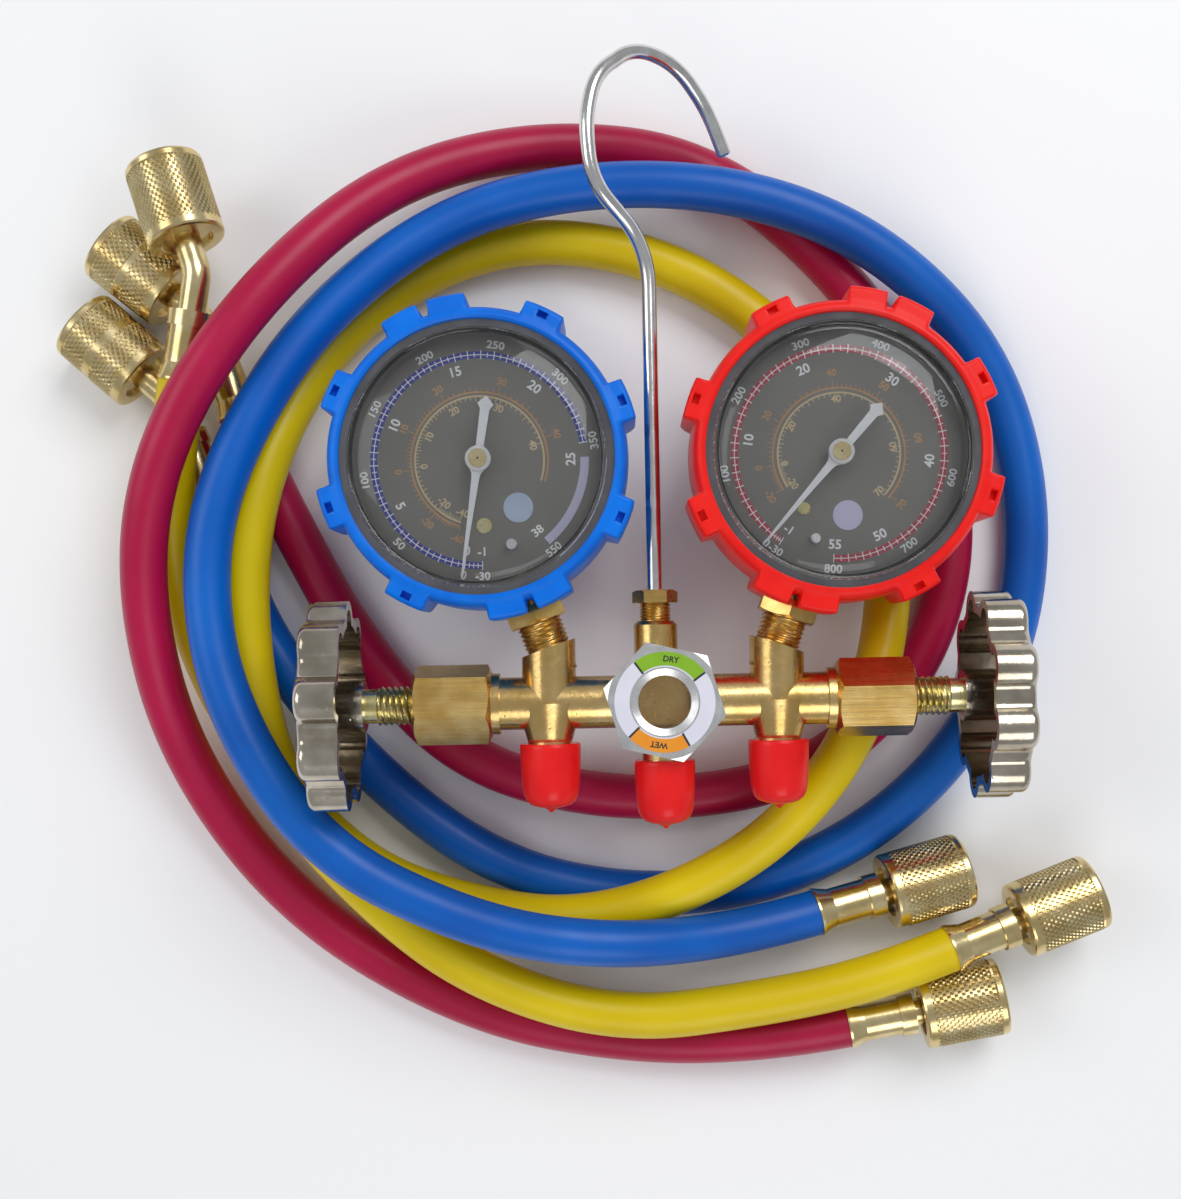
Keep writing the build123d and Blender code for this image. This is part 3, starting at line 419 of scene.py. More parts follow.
# service hoses: control points as in the part, from the straight end at the lower right to the bent end
hoseForm = {"radius": 6.0, "roundness": 10, "smoothness": 14}
hoses = {
    "red": {"material": "redHose", "length": 0.8815, "points": [
        (48.5, -59.5, -30), (28.5, -63, -30.5), (-9, -64, -33.5), (-52.5, -55, -33.75), (-99, -27, -33.25),
        (-129, 16, -28.75), (-135, 61, -12.75), (-126, 97.5, -3.75), (-102, 133, -2.75),
        (-69.5, 166, -17.75), (-28.5, 180, -32.75), (14.5, 174.5, -33.75), (50.5, 144.5, -33.75),
        (75, 106, -33.75), (81, 72, -33.75), (73.5, 41, -33.75), (55, 18, -33.75), (27, 3, -33.75),
        (-18, 1.5, -33.75), (-57.5, 14.5, -33.75), (-84, 49, -33.75), (-96.5, 73, -33.75),
        (-105.5, 91.5, -33), (-111.5, 107.5, -31.75)]},
    "blue": {"material": "blueHose", "length": 0.8669, "points": [
        (40, -28.5, -24.75), (19.5, -33.5, -22), (-16, -33.5, -6.75), (-49.5, -27.5, -7), (-88.5, -8, -7.5),
        (-111.5, 28.5, -8), (-117.5, 64, -9.5), (-109.5, 94.5, -8.5), (-88.5, 129.5, -14.25),
        (-54, 157, -20.5), (-13.5, 165.5, -20.5), (28, 161.5, -19.75), (63, 146.5, -24.25),
        (91.5, 119, -33.75), (101.5, 79.5, -33.75), (96, 38, -33.75), (72, 2.5, -33.75),
        (34.5, -20.5, -33.75), (-6.5, -25.5, -33.75), (-47.5, -15.5, -33.75), (-84.5, 15.5, -33.75),
        (-108.5, 49.5, -33.75), (-116, 75, -32.5), (-120, 85.5, -31.75)]},
    "yellow": {"material": "yellowHose", "length": 0.878, "points": [
        (75, -38.5, -23), (55.5, -45.5, -21.25), (25.5, -51.5, -21.5), (-12.5, -56, -22.5),
        (-50.5, -43.5, -22), (-78, -21, -20.25), (-102, 7.5, -20.5), (-109.5, 50, -20.5),
        (-105.5, 86.5, -17.5), (-91, 121, -28.75), (-67.5, 143.5, -33.75), (-33.5, 155, -33.75),
        (5.5, 147.5, -33.75), (39, 123.5, -33.75), (59.5, 89.5, -33.25), (61.5, 54, -21.5), (51, 18, -14),
        (25, -13, -20.75), (-18, -30, -21.25), (-56, -26, -31.75), (-86, -13, -33.75), (-115, 23, -33.75),
        (-128.5, 58.5, -30.5), (-128, 88, -18), (-123, 114, -15.5)]},
}


def makeHose(colour, hose):
    line = bpy.data.curves.new(f"{colour}HoseLine", "CURVE")
    line.dimensions = "3D"
    line.bevel_depth = hoseForm["radius"] * mm
    line.bevel_resolution = hoseForm["roundness"]
    line.use_fill_caps = True
    spline = line.splines.new("NURBS")
    spline.points.add(len(hose["points"]) - 1)
    for point, spot in zip(spline.points, hose["points"]):
        point.co = (*(value * mm for value in spot), 1)
    spline.order_u = 3
    spline.use_endpoint_u = True
    spline.resolution_u = hoseForm["smoothness"]
    piece = bpy.data.objects.new(f"{colour}_hose_line", line)
    bpy.context.scene.collection.objects.link(piece)
    line.materials.append(materials[hose["material"]])
    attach(piece, "root")
    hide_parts(f"{colour}_hose")
    return piece


hosePieces = {colour: makeHose(colour, hose) for colour, hose in hoses.items()}
print("stage: hoses laid")

# rubber boots round the gauges: a rounded shoulder carries chunky lugs with square pockets
boots = {
    "low": {"material": "blueRubber", "slot": "boot_blue"},
    "high": {"material": "redRubber", "slot": "boot_red"},
}
# lugs by their middles, in degrees from the boot's own top; a double lug is parted by a narrow gap
lugForm = {
    "singles": (45, 89, 133, -45, -89, -133), "singleFlank": (7.2, 8.6),
    "doubles": (0, 180), "doubleFlank": (15.6, 17.0), "doubleGap": (1.0, 2.2),
    "pocketFlank": (1.5, 2.1), "pocketDepth": 2.4,
}
bootSteps = 720
# each pair is a point of the bare wall's section and the same point where a lug stands, in radius and height
bootSection = [
    ((33.5, 11.6), (33.5, 11.6)), ((33.7, 12.6), (33.7, 12.6)), ((34.3, 13.0), (34.3, 13.0)),
    ((35.0, 12.9), (35.0, 12.9)), ((35.6, 12.5), (35.7, 12.6)), ((36.0, 12.0), (36.3, 12.45)),
    ((36.3, 11.4), (37.0, 12.4)), ((36.4, 11.1), (37.1, 12.4)), ((36.6, 10.4), (38.7, 12.2)),
    ((36.7, 9.8), (38.8, 12.2)), ((36.8, 8.8), (39.4, 12.0)), ((36.9, 7.6), (39.9, 11.4)),
    ((37.0, 4.0), (39.9, 4.0)), ((37.0, -4.0), (39.9, -4.0)), ((37.0, -8.0), (39.8, -8.0)),
    ((36.8, -11.0), (39.0, -11.2)), ((36.0, -13.4), (36.8, -13.4)), ((34.6, -14.5), (34.8, -14.5)),
    ((33.6, -14.6), (33.6, -14.6)), ((26.0, -14.6), (26.0, -14.6)), ((26.0, -13.1), (26.0, -13.1)),
    ((34.1, -13.1), (34.1, -13.1)), ((34.1, 11.6), (34.1, 11.6)),
]
pocketPoints = (7, 8)  # points of the section that sink into a lug's pocket


def awayFrom(middle, turn):
    return abs((turn - middle + 180) % 360 - 180)


def lugHeight(turn):  # 0 on the bare wall, 1 on a lug's top
    height = 0.0
    for middle in lugForm["singles"]:
        height = max(height, 1 - smoothStep(*lugForm["singleFlank"], awayFrom(middle, turn)))
    for middle in lugForm["doubles"]:
        away = awayFrom(middle, turn)
        flank = 1 - smoothStep(*lugForm["doubleFlank"], away)
        height = max(height, flank * smoothStep(*lugForm["doubleGap"], away))
    return height


def pocketShare(turn):  # small square pocket in the middle of each single lug
    nearest = min(awayFrom(middle, turn) for middle in lugForm["singles"])
    return 1 - smoothStep(*lugForm["pocketFlank"], nearest)


def makeBoot(which, boot):
    up = stemUp(which)
    top = math.degrees(math.atan2(up.y, up.x))

    def shape(index, radius, height, angle):
        turn = math.degrees(angle) - top
        wall, lug = bootSection[index]
        share = lugHeight(turn)
        radius = wall[0] + (lug[0] - wall[0]) * share
        height = wall[1] + (lug[1] - wall[1]) * share
        if index in pocketPoints:
            height -= lugForm["pocketDepth"] * pocketShare(turn) * share
        return radius, height

    mesh = turnedMesh(f"boot_{which}_rubber", [wall for wall, lug in bootSection], bootSteps, shape)
    piece = finishPiece(f"boot_{which}_rubber", mesh, "root", [boot["material"]],
                        Matrix.Translation(gaugeCentre[which]), sharp=40)
    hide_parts(f"gauge_boot_{which}")


for which, boot in boots.items():
    makeBoot(which, boot)
print("stage: boots made")

# printed dials: scales, numbers and bands as thin inked plates lying on each dial plate
# turns are in degrees anticlockwise from the right; zero and step give the turn of a reading
# plug, screw and pin are small fittings by radius, turn and size
dialTop = 2.5
dials = {
    "low": {
        "ink": "blueInk", "zero": 261.0, "step": -0.72, "vacuum": 270.6, "major": 10, "last": 350,
        "numbers": [0, 50, 100, 150, 200, 250, 300, 350], "extra": [(270.6, "-30"), (-51.2, "550")],
        "barZero": 261.0, "barStep": -10.44, "bars": [0, 5, 10, 15, 20, 25],
        "barExtra": [(270.8, "-1"), (-51.5, "38")],
        "band": (25.2, 27.6), "bandEnd": 9, "plain": (-51.0, 1.0), "numberRadius": 29.4, "barRadius": 22.7,
        "arcs": (17.0, 16.0), "arcSpan": (-19, 252), "outerRadius": 20.2, "innerRadius": 13.7,
        "outerTemps": [(252.8, "-40"), (229, "-20"), (187, "0"), (156.5, "10"), (119.6, "20"), (73.2, "30"),
                       (18.5, "40")],
        "innerTemps": [(251, "-40"), (229, "-20"), (185, "0"), (154, "10"), (116, "20"), (69, "30"),
                       (15, "40")],
        "plug": (15.1, -51.5, 3.7), "screw": (16.2, -86.8, 1.9), "pin": (22.3, -69.9, 1.3),
        "plugInk": "bluePlug",
    },
    "high": {
        "ink": "redInk", "zero": 229.7, "step": -0.4046, "vacuum": 235.5, "major": 20, "last": 800,
        "numbers": [0, 100, 200, 300, 400, 500, 600, 700, 800], "extra": [(235.5, "-30")],
        "barZero": 229.3, "barStep": -5.87, "bars": [10, 20, 30, 40, 50, 55], "barExtra": [(235.6, "-1")],
        "band": (25.1, 27.5), "bandEnd": -94, "plain": None, "numberRadius": 29.3, "barRadius": 22.6,
        "arcs": (16.4, 15.2), "arcSpan": (-43, 212), "outerRadius": 20.1, "innerRadius": 13.6,
        "outerTemps": [(211, "-20"), (189, "0"), (151, "20"), (94.3, "40"), (55.4, "50"), (10, "60"),
                       (-40, "70")],
        "innerTemps": [(211, "-20"), (189, "0"), (149, "20"), (92, "40"), (6, "60"), (-44, "70")],
        "plug": (15.4, -83.0, 3.7), "screw": (16.1, 236.3, 1.55), "pin": (21.9, 253.1, 1.2),
        "plugInk": "lavenderInk",
    },
}
inkOrder = ["whiteInk", "blueInk", "redInk", "orangeInk", "paleYellowInk", "lavenderInk", "bluePlug",
            "yellowZinc", "satinPlate"]
inkIndex = {ink: index for index, ink in enumerate(inkOrder)}
# print sizes are shared by both dials; each layer runs between two heights over the dial plate
layers = {"band": (0.01, 0.05), "plain": (0.01, 0.07), "line": (0.06, 0.09), "tick": (0.06, 0.10)}
printLow = dialTop + 0.01
printForm = {
    "bandInset": 0.2, "lineHalf": 0.13, "tickWidth": 0.24, "longTick": 1.25, "shortTick": 0.7,
    "pressureSize": 3.1, "extraSize": 2.9, "barSize": 3.3, "barExtraSize": 3.0,
    "arcHalf": 0.22, "fineWidth": 0.2, "fineTicks": (1.9, 1.35, 0.95), "tempSize": 2.5,
    "fittingHeights": {"plug": 0.5, "screw": 0.7, "pin": 3.4}, "capShare": 0.82, "stepShare": 0.7,
    "thickness": 0.02, "boldness": 0.026,
}


def layer(name):
    low, high = layers[name]
    return dialTop + low, dialTop + high


def addPlate(form, outline, heights, ink):  # closed thin plate over an outline given anticlockwise
    under = [form.verts.new((x, y, heights[0])) for x, y in outline]
    over = [form.verts.new((x, y, heights[1])) for x, y in outline]
    faces = [form.faces.new(over), form.faces.new(under[::-1])]
    for index in range(len(outline)):
        after = (index + 1) % len(outline)
        faces.append(form.faces.new((under[index], under[after], over[after], over[index])))
    for face in faces:
        face.material_index = ink


def addArc(form, inner, outer, span, heights, ink):  # span in degrees, from the smaller to the larger
    start, end = span
    count = max(2, int(abs(end - start) / 2.5))
    turns = [math.radians(start + (end - start) * step / count) for step in range(count + 1)]
    for here, there in zip(turns, turns[1:]):
        addPlate(form, [(inner * math.cos(here), inner * math.sin(here)),
                        (outer * math.cos(here), outer * math.sin(here)),
                        (outer * math.cos(there), outer * math.sin(there)),
                        (inner * math.cos(there), inner * math.sin(there))], heights, ink)


def addTick(form, inner, outer, turn, width, heights, ink):
    along, aside = direction(turn), direction(turn + 90) * width / 2
    corners = [along * inner - aside, along * outer - aside, along * outer + aside, along * inner + aside]
    addPlate(form, [(corner.x, corner.y) for corner in corners], heights, ink)


def addDisc(form, middle, radius, heights, ink, count=40):
    turns = [2 * math.pi * step / count for step in range(count)]
    outline = [(middle.x + radius * math.cos(turn), middle.y + radius * math.sin(turn)) for turn in turns]
    addPlate(form, outline, heights, ink)


def addNumber(form, words, radius, turn, size, low, ink, outward=False):
    curve = bpy.data.curves.new("number", "FONT")
    curve.body = words
    curve.size = size
    curve.align_x, curve.align_y = "CENTER", "CENTER"
    curve.extrude = printForm["thickness"]
    curve.offset = size * printForm["boldness"]
    curve.resolution_u = 3
    carrier = bpy.data.objects.new("number", curve)
    mesh = bpy.data.meshes.new_from_object(carrier)
    reading = turn % 360
    spin = reading - 90 if outward or 14 < reading < 200 else reading + 90  # low down, feet point outward
    spot = direction(turn) * radius
    spot.z = low + printForm["thickness"]
    mesh.transform(Matrix.Translation(spot) @ Matrix.Rotation(math.radians(spin), 4, "Z"))
    for polygon in mesh.polygons:
        polygon.material_index = ink
    form.from_mesh(mesh)
    bpy.data.objects.remove(carrier)
    bpy.data.meshes.remove(mesh)
    bpy.data.curves.remove(curve)


def addPressureBand(form, dial):
    white = inkIndex["whiteInk"]
    bandLow, bandHigh = dial["band"]
    middle = (bandLow + bandHigh) / 2
    span, inset, half = (dial["bandEnd"], dial["vacuum"]), printForm["bandInset"], printForm["lineHalf"]
    addArc(form, bandLow + inset, bandHigh - inset, span, layer("band"), inkIndex[dial["ink"]])
    addArc(form, middle - half, middle + half, span, layer("line"), white)
    if dial["plain"]:
        addArc(form, bandLow, bandHigh, dial["plain"], layer("plain"), inkIndex["lavenderInk"])
    ticks = [(dial["zero"] + dial["step"] * reading, reading % dial["major"] == 0)
             for reading in range(0, dial["last"] + 1, dial["major"] // 2)]
    ticks += [(dial["zero"] + (dial["vacuum"] - dial["zero"]) * share, share == 1)
              for share in (0.25, 0.5, 0.75, 1.0)]
    for turn, isLong in ticks:
        reach = printForm["longTick" if isLong else "shortTick"]
        addTick(form, middle - reach, middle + reach, turn, printForm["tickWidth"], layer("tick"), white)


def addPressureNumbers(form, dial):
    rows = [([(dial["zero"] + dial["step"] * number, str(number)) for number in dial["numbers"]],
             "numberRadius", "pressureSize"),
            (dial["extra"], "numberRadius", "extraSize"),
            ([(dial["barZero"] + dial["barStep"] * bar, str(bar)) for bar in dial["bars"]],
             "barRadius", "barSize"),
            (dial["barExtra"], "barRadius", "barExtraSize")]
    for row, radius, size in rows:
        for turn, words in row:
            addNumber(form, words, dial[radius], turn, printForm[size], printLow, inkIndex["whiteInk"])


# the two temperature scales share a double arc, with ticks outward and inward
def addTemperatureScales(form, dial):
    longReach, middleReach, shortReach = printForm["fineTicks"]
    half, width = printForm["arcHalf"], printForm["fineWidth"]
    for radius, inkName, away, temps, numberRadius in (
            (dial["arcs"][0], "orangeInk", 1, dial["outerTemps"], dial["outerRadius"]),
            (dial["arcs"][1], "paleYellowInk", -1, dial["innerTemps"], dial["innerRadius"])):
        ink = inkIndex[inkName]
        addArc(form, radius - half, radius + half, dial["arcSpan"], layer("band"), ink)
        ticks = []
        for (turnHere, _), (turnNext, _) in zip(temps, temps[1:]):
            for step in range(10):
                reach = longReach if step == 0 else middleReach if step == 5 else shortReach
                ticks.append((turnHere + (turnNext - turnHere) * step / 10, reach))
        ticks.append((temps[-1][0], longReach))
        for turn, reach in ticks:
            inner, outer = sorted((radius, radius + away * reach))
            addTick(form, inner, outer, turn, width, layer("line"), ink)
        for turn, words in temps:
            addNumber(form, words, numberRadius, turn, printForm["tempSize"], printLow, ink)


def addDialFittings(form, dial):  # a stepped blow-out plug, the plate's screw and the pointer's stop pin
    for name, inkName in (("plug", dial["plugInk"]), ("screw", "yellowZinc"), ("pin", "satinPlate")):
        radius, turn, size = dial[name]
        spot, height = direction(turn) * radius, printForm["fittingHeights"][name]
        ledge = printLow + height * printForm["stepShare"]
        addDisc(form, spot, size, (printLow, ledge), inkIndex[inkName])
        addDisc(form, spot, size * printForm["capShare"], (ledge, printLow + height), inkIndex[inkName])


def makeDialPrint(which, dial):
    form = bmesh.new()
    addPressureBand(form, dial)
    addPressureNumbers(form, dial)
    addTemperatureScales(form, dial)
    addDialFittings(form, dial)
    mesh = meshFrom(form, f"dial_print_{which}")
    finishPiece(f"dial_print_{which}", mesh, "root", inkOrder,
                Matrix.Translation(gaugeCentre[which]), sharp=30)


# domed lens with a raised lip just inside the bezel, in radius and height
lensSection = [
    (33.0, 8.95), (33.0, 10.45), (31.75, 10.45), (31.6, 11.5), (31.2, 11.85), (30.7, 11.75), (30.3, 11.3),
    (29.0, 11.35), (24.0, 11.85), (17.0, 12.3), (9.0, 12.55), (0.0, 12.6),
    (0.0, 11.2), (9.0, 11.15), (17.0, 10.9), (24.0, 10.45), (29.0, 9.9), (31.0, 8.95),
]
lensSteps = 180


def makeLens(which):
    mesh = turnedMesh(f"lens_{which}_dome", lensSection, lensSteps)
    piece = finishPiece(f"lens_{which}_dome", mesh, "root", ["clearLens"],
                        Matrix.Translation(gaugeCentre[which]), sharp=50)
    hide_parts(f"gauge_lens_{which}")


# pointer: a long tapering needle, a hub and a slim tail that ends in an arrowhead
pointerForm = {"low": 6.6, "high": 7.25, "hubHigh": 8.15, "hub": 3.15, "hubRound": (0.2, 0.25),
               "hubSteps": 64, "hole": 1.0, "dot": 0.27, "dotHeights": (8.71, 8.76), "dotSteps": 16,
               "turns": {"low": 261.2, "high": 228.9}}
needleHalf = [(-15.6, 0.0), (-13.5, 2.0), (-12.3, 1.15), (-3.2, 0.95), (-2.5, 1.9), (2.5, 1.9), (3.6, 1.15),
              (5.0, 0.95), (12.0, 0.7), (29.5, 0.24)]


def makePointer(which):
    needle = bmesh.new()
    outline = [(x, -y) for x, y in needleHalf] + [(x, y) for x, y in reversed(needleHalf) if y]
    addPlate(needle, outline, (pointerForm["low"], pointerForm["high"]), 0)
    addDisc(needle, Vector((0, 0, 0)), pointerForm["dot"], pointerForm["dotHeights"], 1,
            count=pointerForm["dotSteps"])
    hole, outer, under, over = (pointerForm[key] for key in ("hole", "hub", "low", "hubHigh"))
    roundIn, roundDown = pointerForm["hubRound"]
    hub = turnedMesh("hub", [(hole, under), (outer, under), (outer, over - roundDown),
                             (outer - roundIn, over), (hole, over)], pointerForm["hubSteps"])
    needle.from_mesh(hub)
    mesh = meshFrom(needle, f"pointer_{which}_needle")
    turn = Matrix.Rotation(math.radians(pointerForm["turns"][which]), 4, "Z")
    piece = finishPiece(f"pointer_{which}_needle", mesh, f"{which}_pointer",
                        ["whiteEnamel", "darkInk"], Matrix.Translation(gaugeCentre[which]) @ turn)
    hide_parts(f"pointer_{which}")


for which, dial in dials.items():
    makeDialPrint(which, dial)
    makeLens(which)
    makePointer(which)
print("stage: dials printed and lenses made")

# threaded valve stems: lengths run outward along the bar from its middle
stemForm = {"nose": 1.45, "noseLength": 1.5, "stalk": 3.2, "threadStart": 55.2, "threadEnd": 71.0,
            "pitch": 1.5, "rowsPerTurn": 5, "crest": 4.9, "root": 4.25, "steepness": 2.4, "shank": 4.3,
            "shankGap": 0.2, "end": 85.4, "screwHole": 1.9, "screwDepth": 6, "steps": 60}


def makeStem(which):
    start, threadEnd = stemForm["threadStart"], stemForm["threadEnd"]
    rows, gap = evenRows(start, threadEnd, stemForm["pitch"] / stemForm["rowsPerTurn"])
    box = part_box(f"stem_{which}")
    tip = min(abs(box[0].x), abs(box[1].x)) / mm
    shoulder, screwFoot = tip + stemForm["noseLength"], stemForm["end"] - stemForm["screwDepth"]
    profile = [(0, tip), (stemForm["nose"], tip), (stemForm["nose"], shoulder),
               (stemForm["stalk"], shoulder), (stemForm["stalk"], start)]
    first = len(profile)
    profile += [(stemForm["crest"], start + gap * row) for row in range(rows + 1)]
    profile += [(stemForm["shank"], threadEnd + stemForm["shankGap"]), (stemForm["shank"], stemForm["end"]),
                (stemForm["screwHole"], stemForm["end"]), (stemForm["screwHole"], screwFoot),
                (0, screwFoot)]

    def shape(index, radius, height, angle):
        if first <= index <= first + rows:
            ridge = threadRidge(height, angle, stemForm["pitch"], stemForm["steepness"])
            radius = stemForm["root"] + (stemForm["crest"] - stemForm["root"]) * ridge
        return radius, height

    mesh = turnedMesh(f"stem_{which}_threaded", profile, stemForm["steps"], shape)
    outward = placeAt((0, barY, 0), (sideOf[which], 0, 0), (0, 0, 1))
    piece = finishPiece(f"stem_{which}_threaded", mesh, f"{which}_handwheel", ["yellowZinc"],
                        outward, sharp=45)
    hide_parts(f"stem_{which}")


for which in sideOf:
    makeStem(which)
print("stage: stems threaded")

# threads seen on the gauge stems and on the hook's gland
gaugeThread = {"start": 0.3, "end": 6.6, "root": 5.17, "crest": 5.7, "pitch": 1.15}
glandThread = {"start": 20.2, "end": 24.4, "root": 3.57, "crest": 3.95, "pitch": 0.8}
sleeveForm = {"sink": 0.4, "rowsPerTurn": 6, "steepness": 2.2, "steps": 72}


def makeThreadSleeve(name, sleeve, place):
    rows, gap = evenRows(sleeve["start"], sleeve["end"], sleeve["pitch"] / sleeveForm["rowsPerTurn"])
    inner = sleeve["root"] - sleeveForm["sink"]
    profile = [(inner, sleeve["start"])]
    profile += [(sleeve["root"], sleeve["start"] + gap * row) for row in range(rows + 1)]
    profile += [(inner, sleeve["end"])]

    def shape(index, radius, height, angle):
        if 1 < index < rows + 1:
            ridge = threadRidge(height, angle, sleeve["pitch"], sleeveForm["steepness"])
            radius += (sleeve["crest"] - sleeve["root"]) * ridge
        return radius, height

    mesh = turnedMesh(name, profile, sleeveForm["steps"], shape)
    finishPiece(name, mesh, "root", ["turnedBrass"], place, sharp=50)


for which in sideOf:
    makeThreadSleeve(f"gauge_thread_{which}", gaugeThread,
                     placeAt(bossFace(which), stemUp(which), (0, 0, 1)))
makeThreadSleeve("gland_thread", glandThread, placeAt((hookX, barY, 0), (0, 1, 0)))

# dipped vinyl caps: slightly bulged sleeve, rounded end and a small drip; heights run from the foot
capSection = [(0.0, 0.0), (0.0, 17.3), (0.35, 17.2), (0.9, 16.6), (1.9, 16.1), (3.4, 15.8), (5.0, 15.3),
              (6.1, 14.4), (6.8, 13.0), (7.15, 11.2), (7.4, 8.0), (7.55, 4.0), (7.6, 1.2), (7.6, 0.35),
              (7.35, 0.0)]
capSteps = 96


def makeCap(which):
    mesh = turnedMesh(f"cap_{which}_vinyl", capSection, capSteps)
    footX, footY = sideOf.get(which, 0) * boss["pitch"] * mm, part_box(f"port_cap_{which}")[1].y
    piece = finishPiece(f"cap_{which}_vinyl", mesh, f"{which}_cap", ["redVinyl"],
                        placeAt((footX, footY, 0), (0, -1, 0)), sharp=50)
    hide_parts(f"port_cap_{which}")


for which in ("low", "centre", "high"):
    makeCap(which)
print("stage: threads and caps made")

# knurled swivel nuts on the hose ends, in radius and height from the hose side; some have a plain band
nutForm = {"knurlStart": 2.5, "knurlEnd": 20.0, "diamonds": 42, "pitch": 2.0, "rowsPerDiamond": 4,
           "stepsPerDiamond": 4, "depth": 0.5, "threadTop": 21.4, "threadFoot": 12.0, "threadPitch": 1.27,
           "threadRadius": 5.55, "threadDepth": 0.45, "threadRows": 40, "steepness": 2.2}
nutRear = [(3.65, 1.2), (6.6, 1.2), (6.6, 0.3), (6.9, 0), (9.3, 0), (9.86, 0.24), (10.1, 0.8), (10.1, 1.9)]
nutFront = [(10.1, 20.6), (10.1, 21.2), (9.86, 21.76), (9.3, 22.0), (6.1, 22.0), (5.6, 21.6)]
nutSocket = [(5.9, 12.0), (5.9, 8.0), (3.65, 8.0)]
nutRadius = nutRear[-1][0]
nutBands = {"blue_bent": (10.0, 12.6), "red_bent": (10.4, 12.4)}


def makeNut(name):
    joint = joints[f"{name}_nut_spin"]
    pitch, depth = nutForm["pitch"], nutForm["depth"]
    band = nutBands.get(name, (0, 0))
    rows, gap = evenRows(nutForm["knurlStart"], nutForm["knurlEnd"], pitch / nutForm["rowsPerDiamond"])
    first = len(nutRear)
    knurl = [(nutRadius, nutForm["knurlStart"] + gap * row) for row in range(rows + 1)]
    threadFirst, threadRows = first + len(knurl) + len(nutFront), nutForm["threadRows"]
    fall = (nutForm["threadTop"] - nutForm["threadFoot"]) / threadRows
    thread = [(nutForm["threadRadius"], nutForm["threadTop"] - fall * row) for row in range(threadRows + 1)]

    def shape(index, radius, height, angle):
        if first < index < first + rows and not band[0] < height < band[1]:
            around, along = angle * nutForm["diamonds"] / (2 * math.pi), height / pitch
            grooves = [1 - 4 * min((turn % 1), 1 - (turn % 1)) for turn in (around + along, around - along)]
            radius -= depth * max(0.0, *grooves)
        if threadFirst < index < threadFirst + threadRows:
            ridge = threadRidge(height, angle, nutForm["threadPitch"], nutForm["steepness"])
            radius += nutForm["threadDepth"] * ridge
        return radius, height

    steps = nutForm["stepsPerDiamond"] * nutForm["diamonds"]
    mesh = turnedMesh(f"nut_{name}_knurled", nutRear + knurl + nutFront + thread + nutSocket, steps, shape)
    piece = finishPiece(f"nut_{name}_knurled", mesh, joint["child"], ["paleBrass"],
                        placeAt(joint["pos_m"], joint["axis"]), sharp=22)
    colour, end = name.split("_")
    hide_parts(f"{colour}_nut_{end}")
    return piece


nutPieces = {}
for colour in hoses:
    for end in ("straight", "bent"):
        nutPieces[f"{colour}_{end}"] = makeNut(f"{colour}_{end}")
print("stage: nuts knurled")

# moisture label round the sight glass: pale ring with a green and an amber sector, edged in black
labelForm = {"inner": 8.6, "outer": 12.3, "ring": (11.5, 11.67), "sector": (11.68, 11.73),
             "edge": (11.68, 11.75), "wordLow": 11.73, "wordSize": 2.0, "inset": 0.35, "edgeInset": 0.1,
             "edgeAway": 1.5, "edgeWidth": 0.5,
             "sectors": [("greenInk", 37, 125), ("amberInk", 225, 297)], "words": [("DRY", 81), ("WET", 261)]}
labelInks = ["paleLabel", "greenInk", "amberInk", "darkInk"]


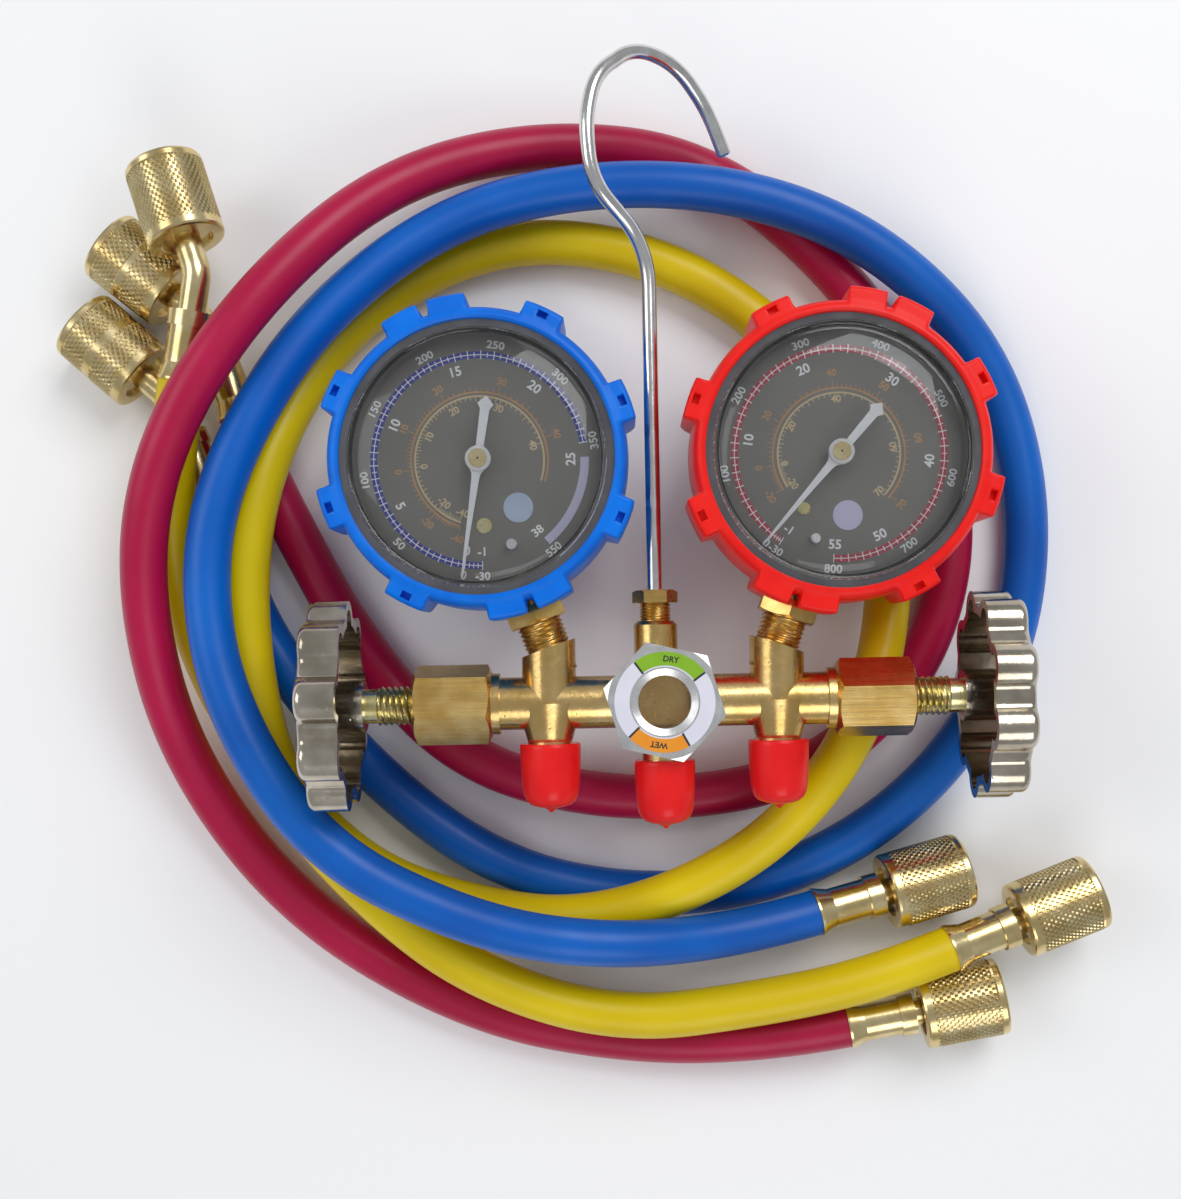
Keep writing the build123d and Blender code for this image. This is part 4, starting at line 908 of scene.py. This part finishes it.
def makeLabel():
    form = bmesh.new()
    inner, outer, dark = labelForm["inner"], labelForm["outer"], labelInks.index("darkInk")
    addArc(form, inner, outer, (0, 360), labelForm["ring"], 0)
    for ink, start, end in labelForm["sectors"]:
        addArc(form, inner + labelForm["inset"], outer, (start, end), labelForm["sector"],
               labelInks.index(ink))
        for turn in (start - labelForm["edgeAway"], end + labelForm["edgeAway"]):
            addTick(form, inner + labelForm["edgeInset"], outer - labelForm["edgeInset"], turn,
                    labelForm["edgeWidth"], labelForm["edge"], dark)
    for words, turn in labelForm["words"]:
        addNumber(form, words, (inner + outer) / 2, turn, labelForm["wordSize"], labelForm["wordLow"], dark,
                  outward=True)
    piece = finishPiece("sight_label_print", meshFrom(form, "sight_label_print"), "root",
                        labelInks, Matrix.Translation((0, barY, 0)), sharp=30)
    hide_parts("sight_label")


makeLabel()
print("stage: sight glass label made")

# each hose's ferrules, necks and knurled nuts are gathered into a list, which nothing further uses
for colour, piece in hosePieces.items():
    fittings = [nodes[f"{colour}_{part}"] for part in ("ferrules", "neck_straight", "neck_bent")]
    fittings += [nutPieces[f"{colour}_{end}"] for end in ("straight", "bent")]

# finishes of the pieces that keep the part's own mesh
plainFinishes = {
    "castBrass": ["manifold_body"],
    "turnedBrass": ["bonnet_low", "bonnet_high", "gauge_socket_low", "gauge_socket_high", "hook_gland"],
    "paleBrass": ["red_ferrules", "blue_ferrules", "yellow_ferrules", "red_neck_straight",
                  "blue_neck_straight", "yellow_neck_straight", "red_neck_bent", "blue_neck_bent",
                  "yellow_neck_bent", "arbor_low", "arbor_high"],
    "platedZinc": ["knob_low", "knob_high", "knob_screw_low", "knob_screw_high"],
    "chromeWire": ["hook"],
    "smokedRim": ["gauge_case_low", "gauge_case_high"],
    "movementBronze": ["bourdon_tube_low", "bourdon_tube_high", "sector_low", "sector_high"],
    "satinPlate": ["sight_nut"],
    "sealRubber": ["stem_oring_low", "stem_oring_high", "sight_seal", "hose_gaskets"],
    "seatPlastic": ["seat_low", "seat_high"],
    "dialGrey": ["dial_low", "dial_high"],
    "sightGlass": ["sight_glass"],
}


def dressNodes():
    for finish, names in plainFinishes.items():
        for name in names:
            mesh = nodes[name].data
            mesh.materials.clear()
            mesh.materials.append(materials[finish])


dressNodes()
print("stage: the part's own meshes dressed")
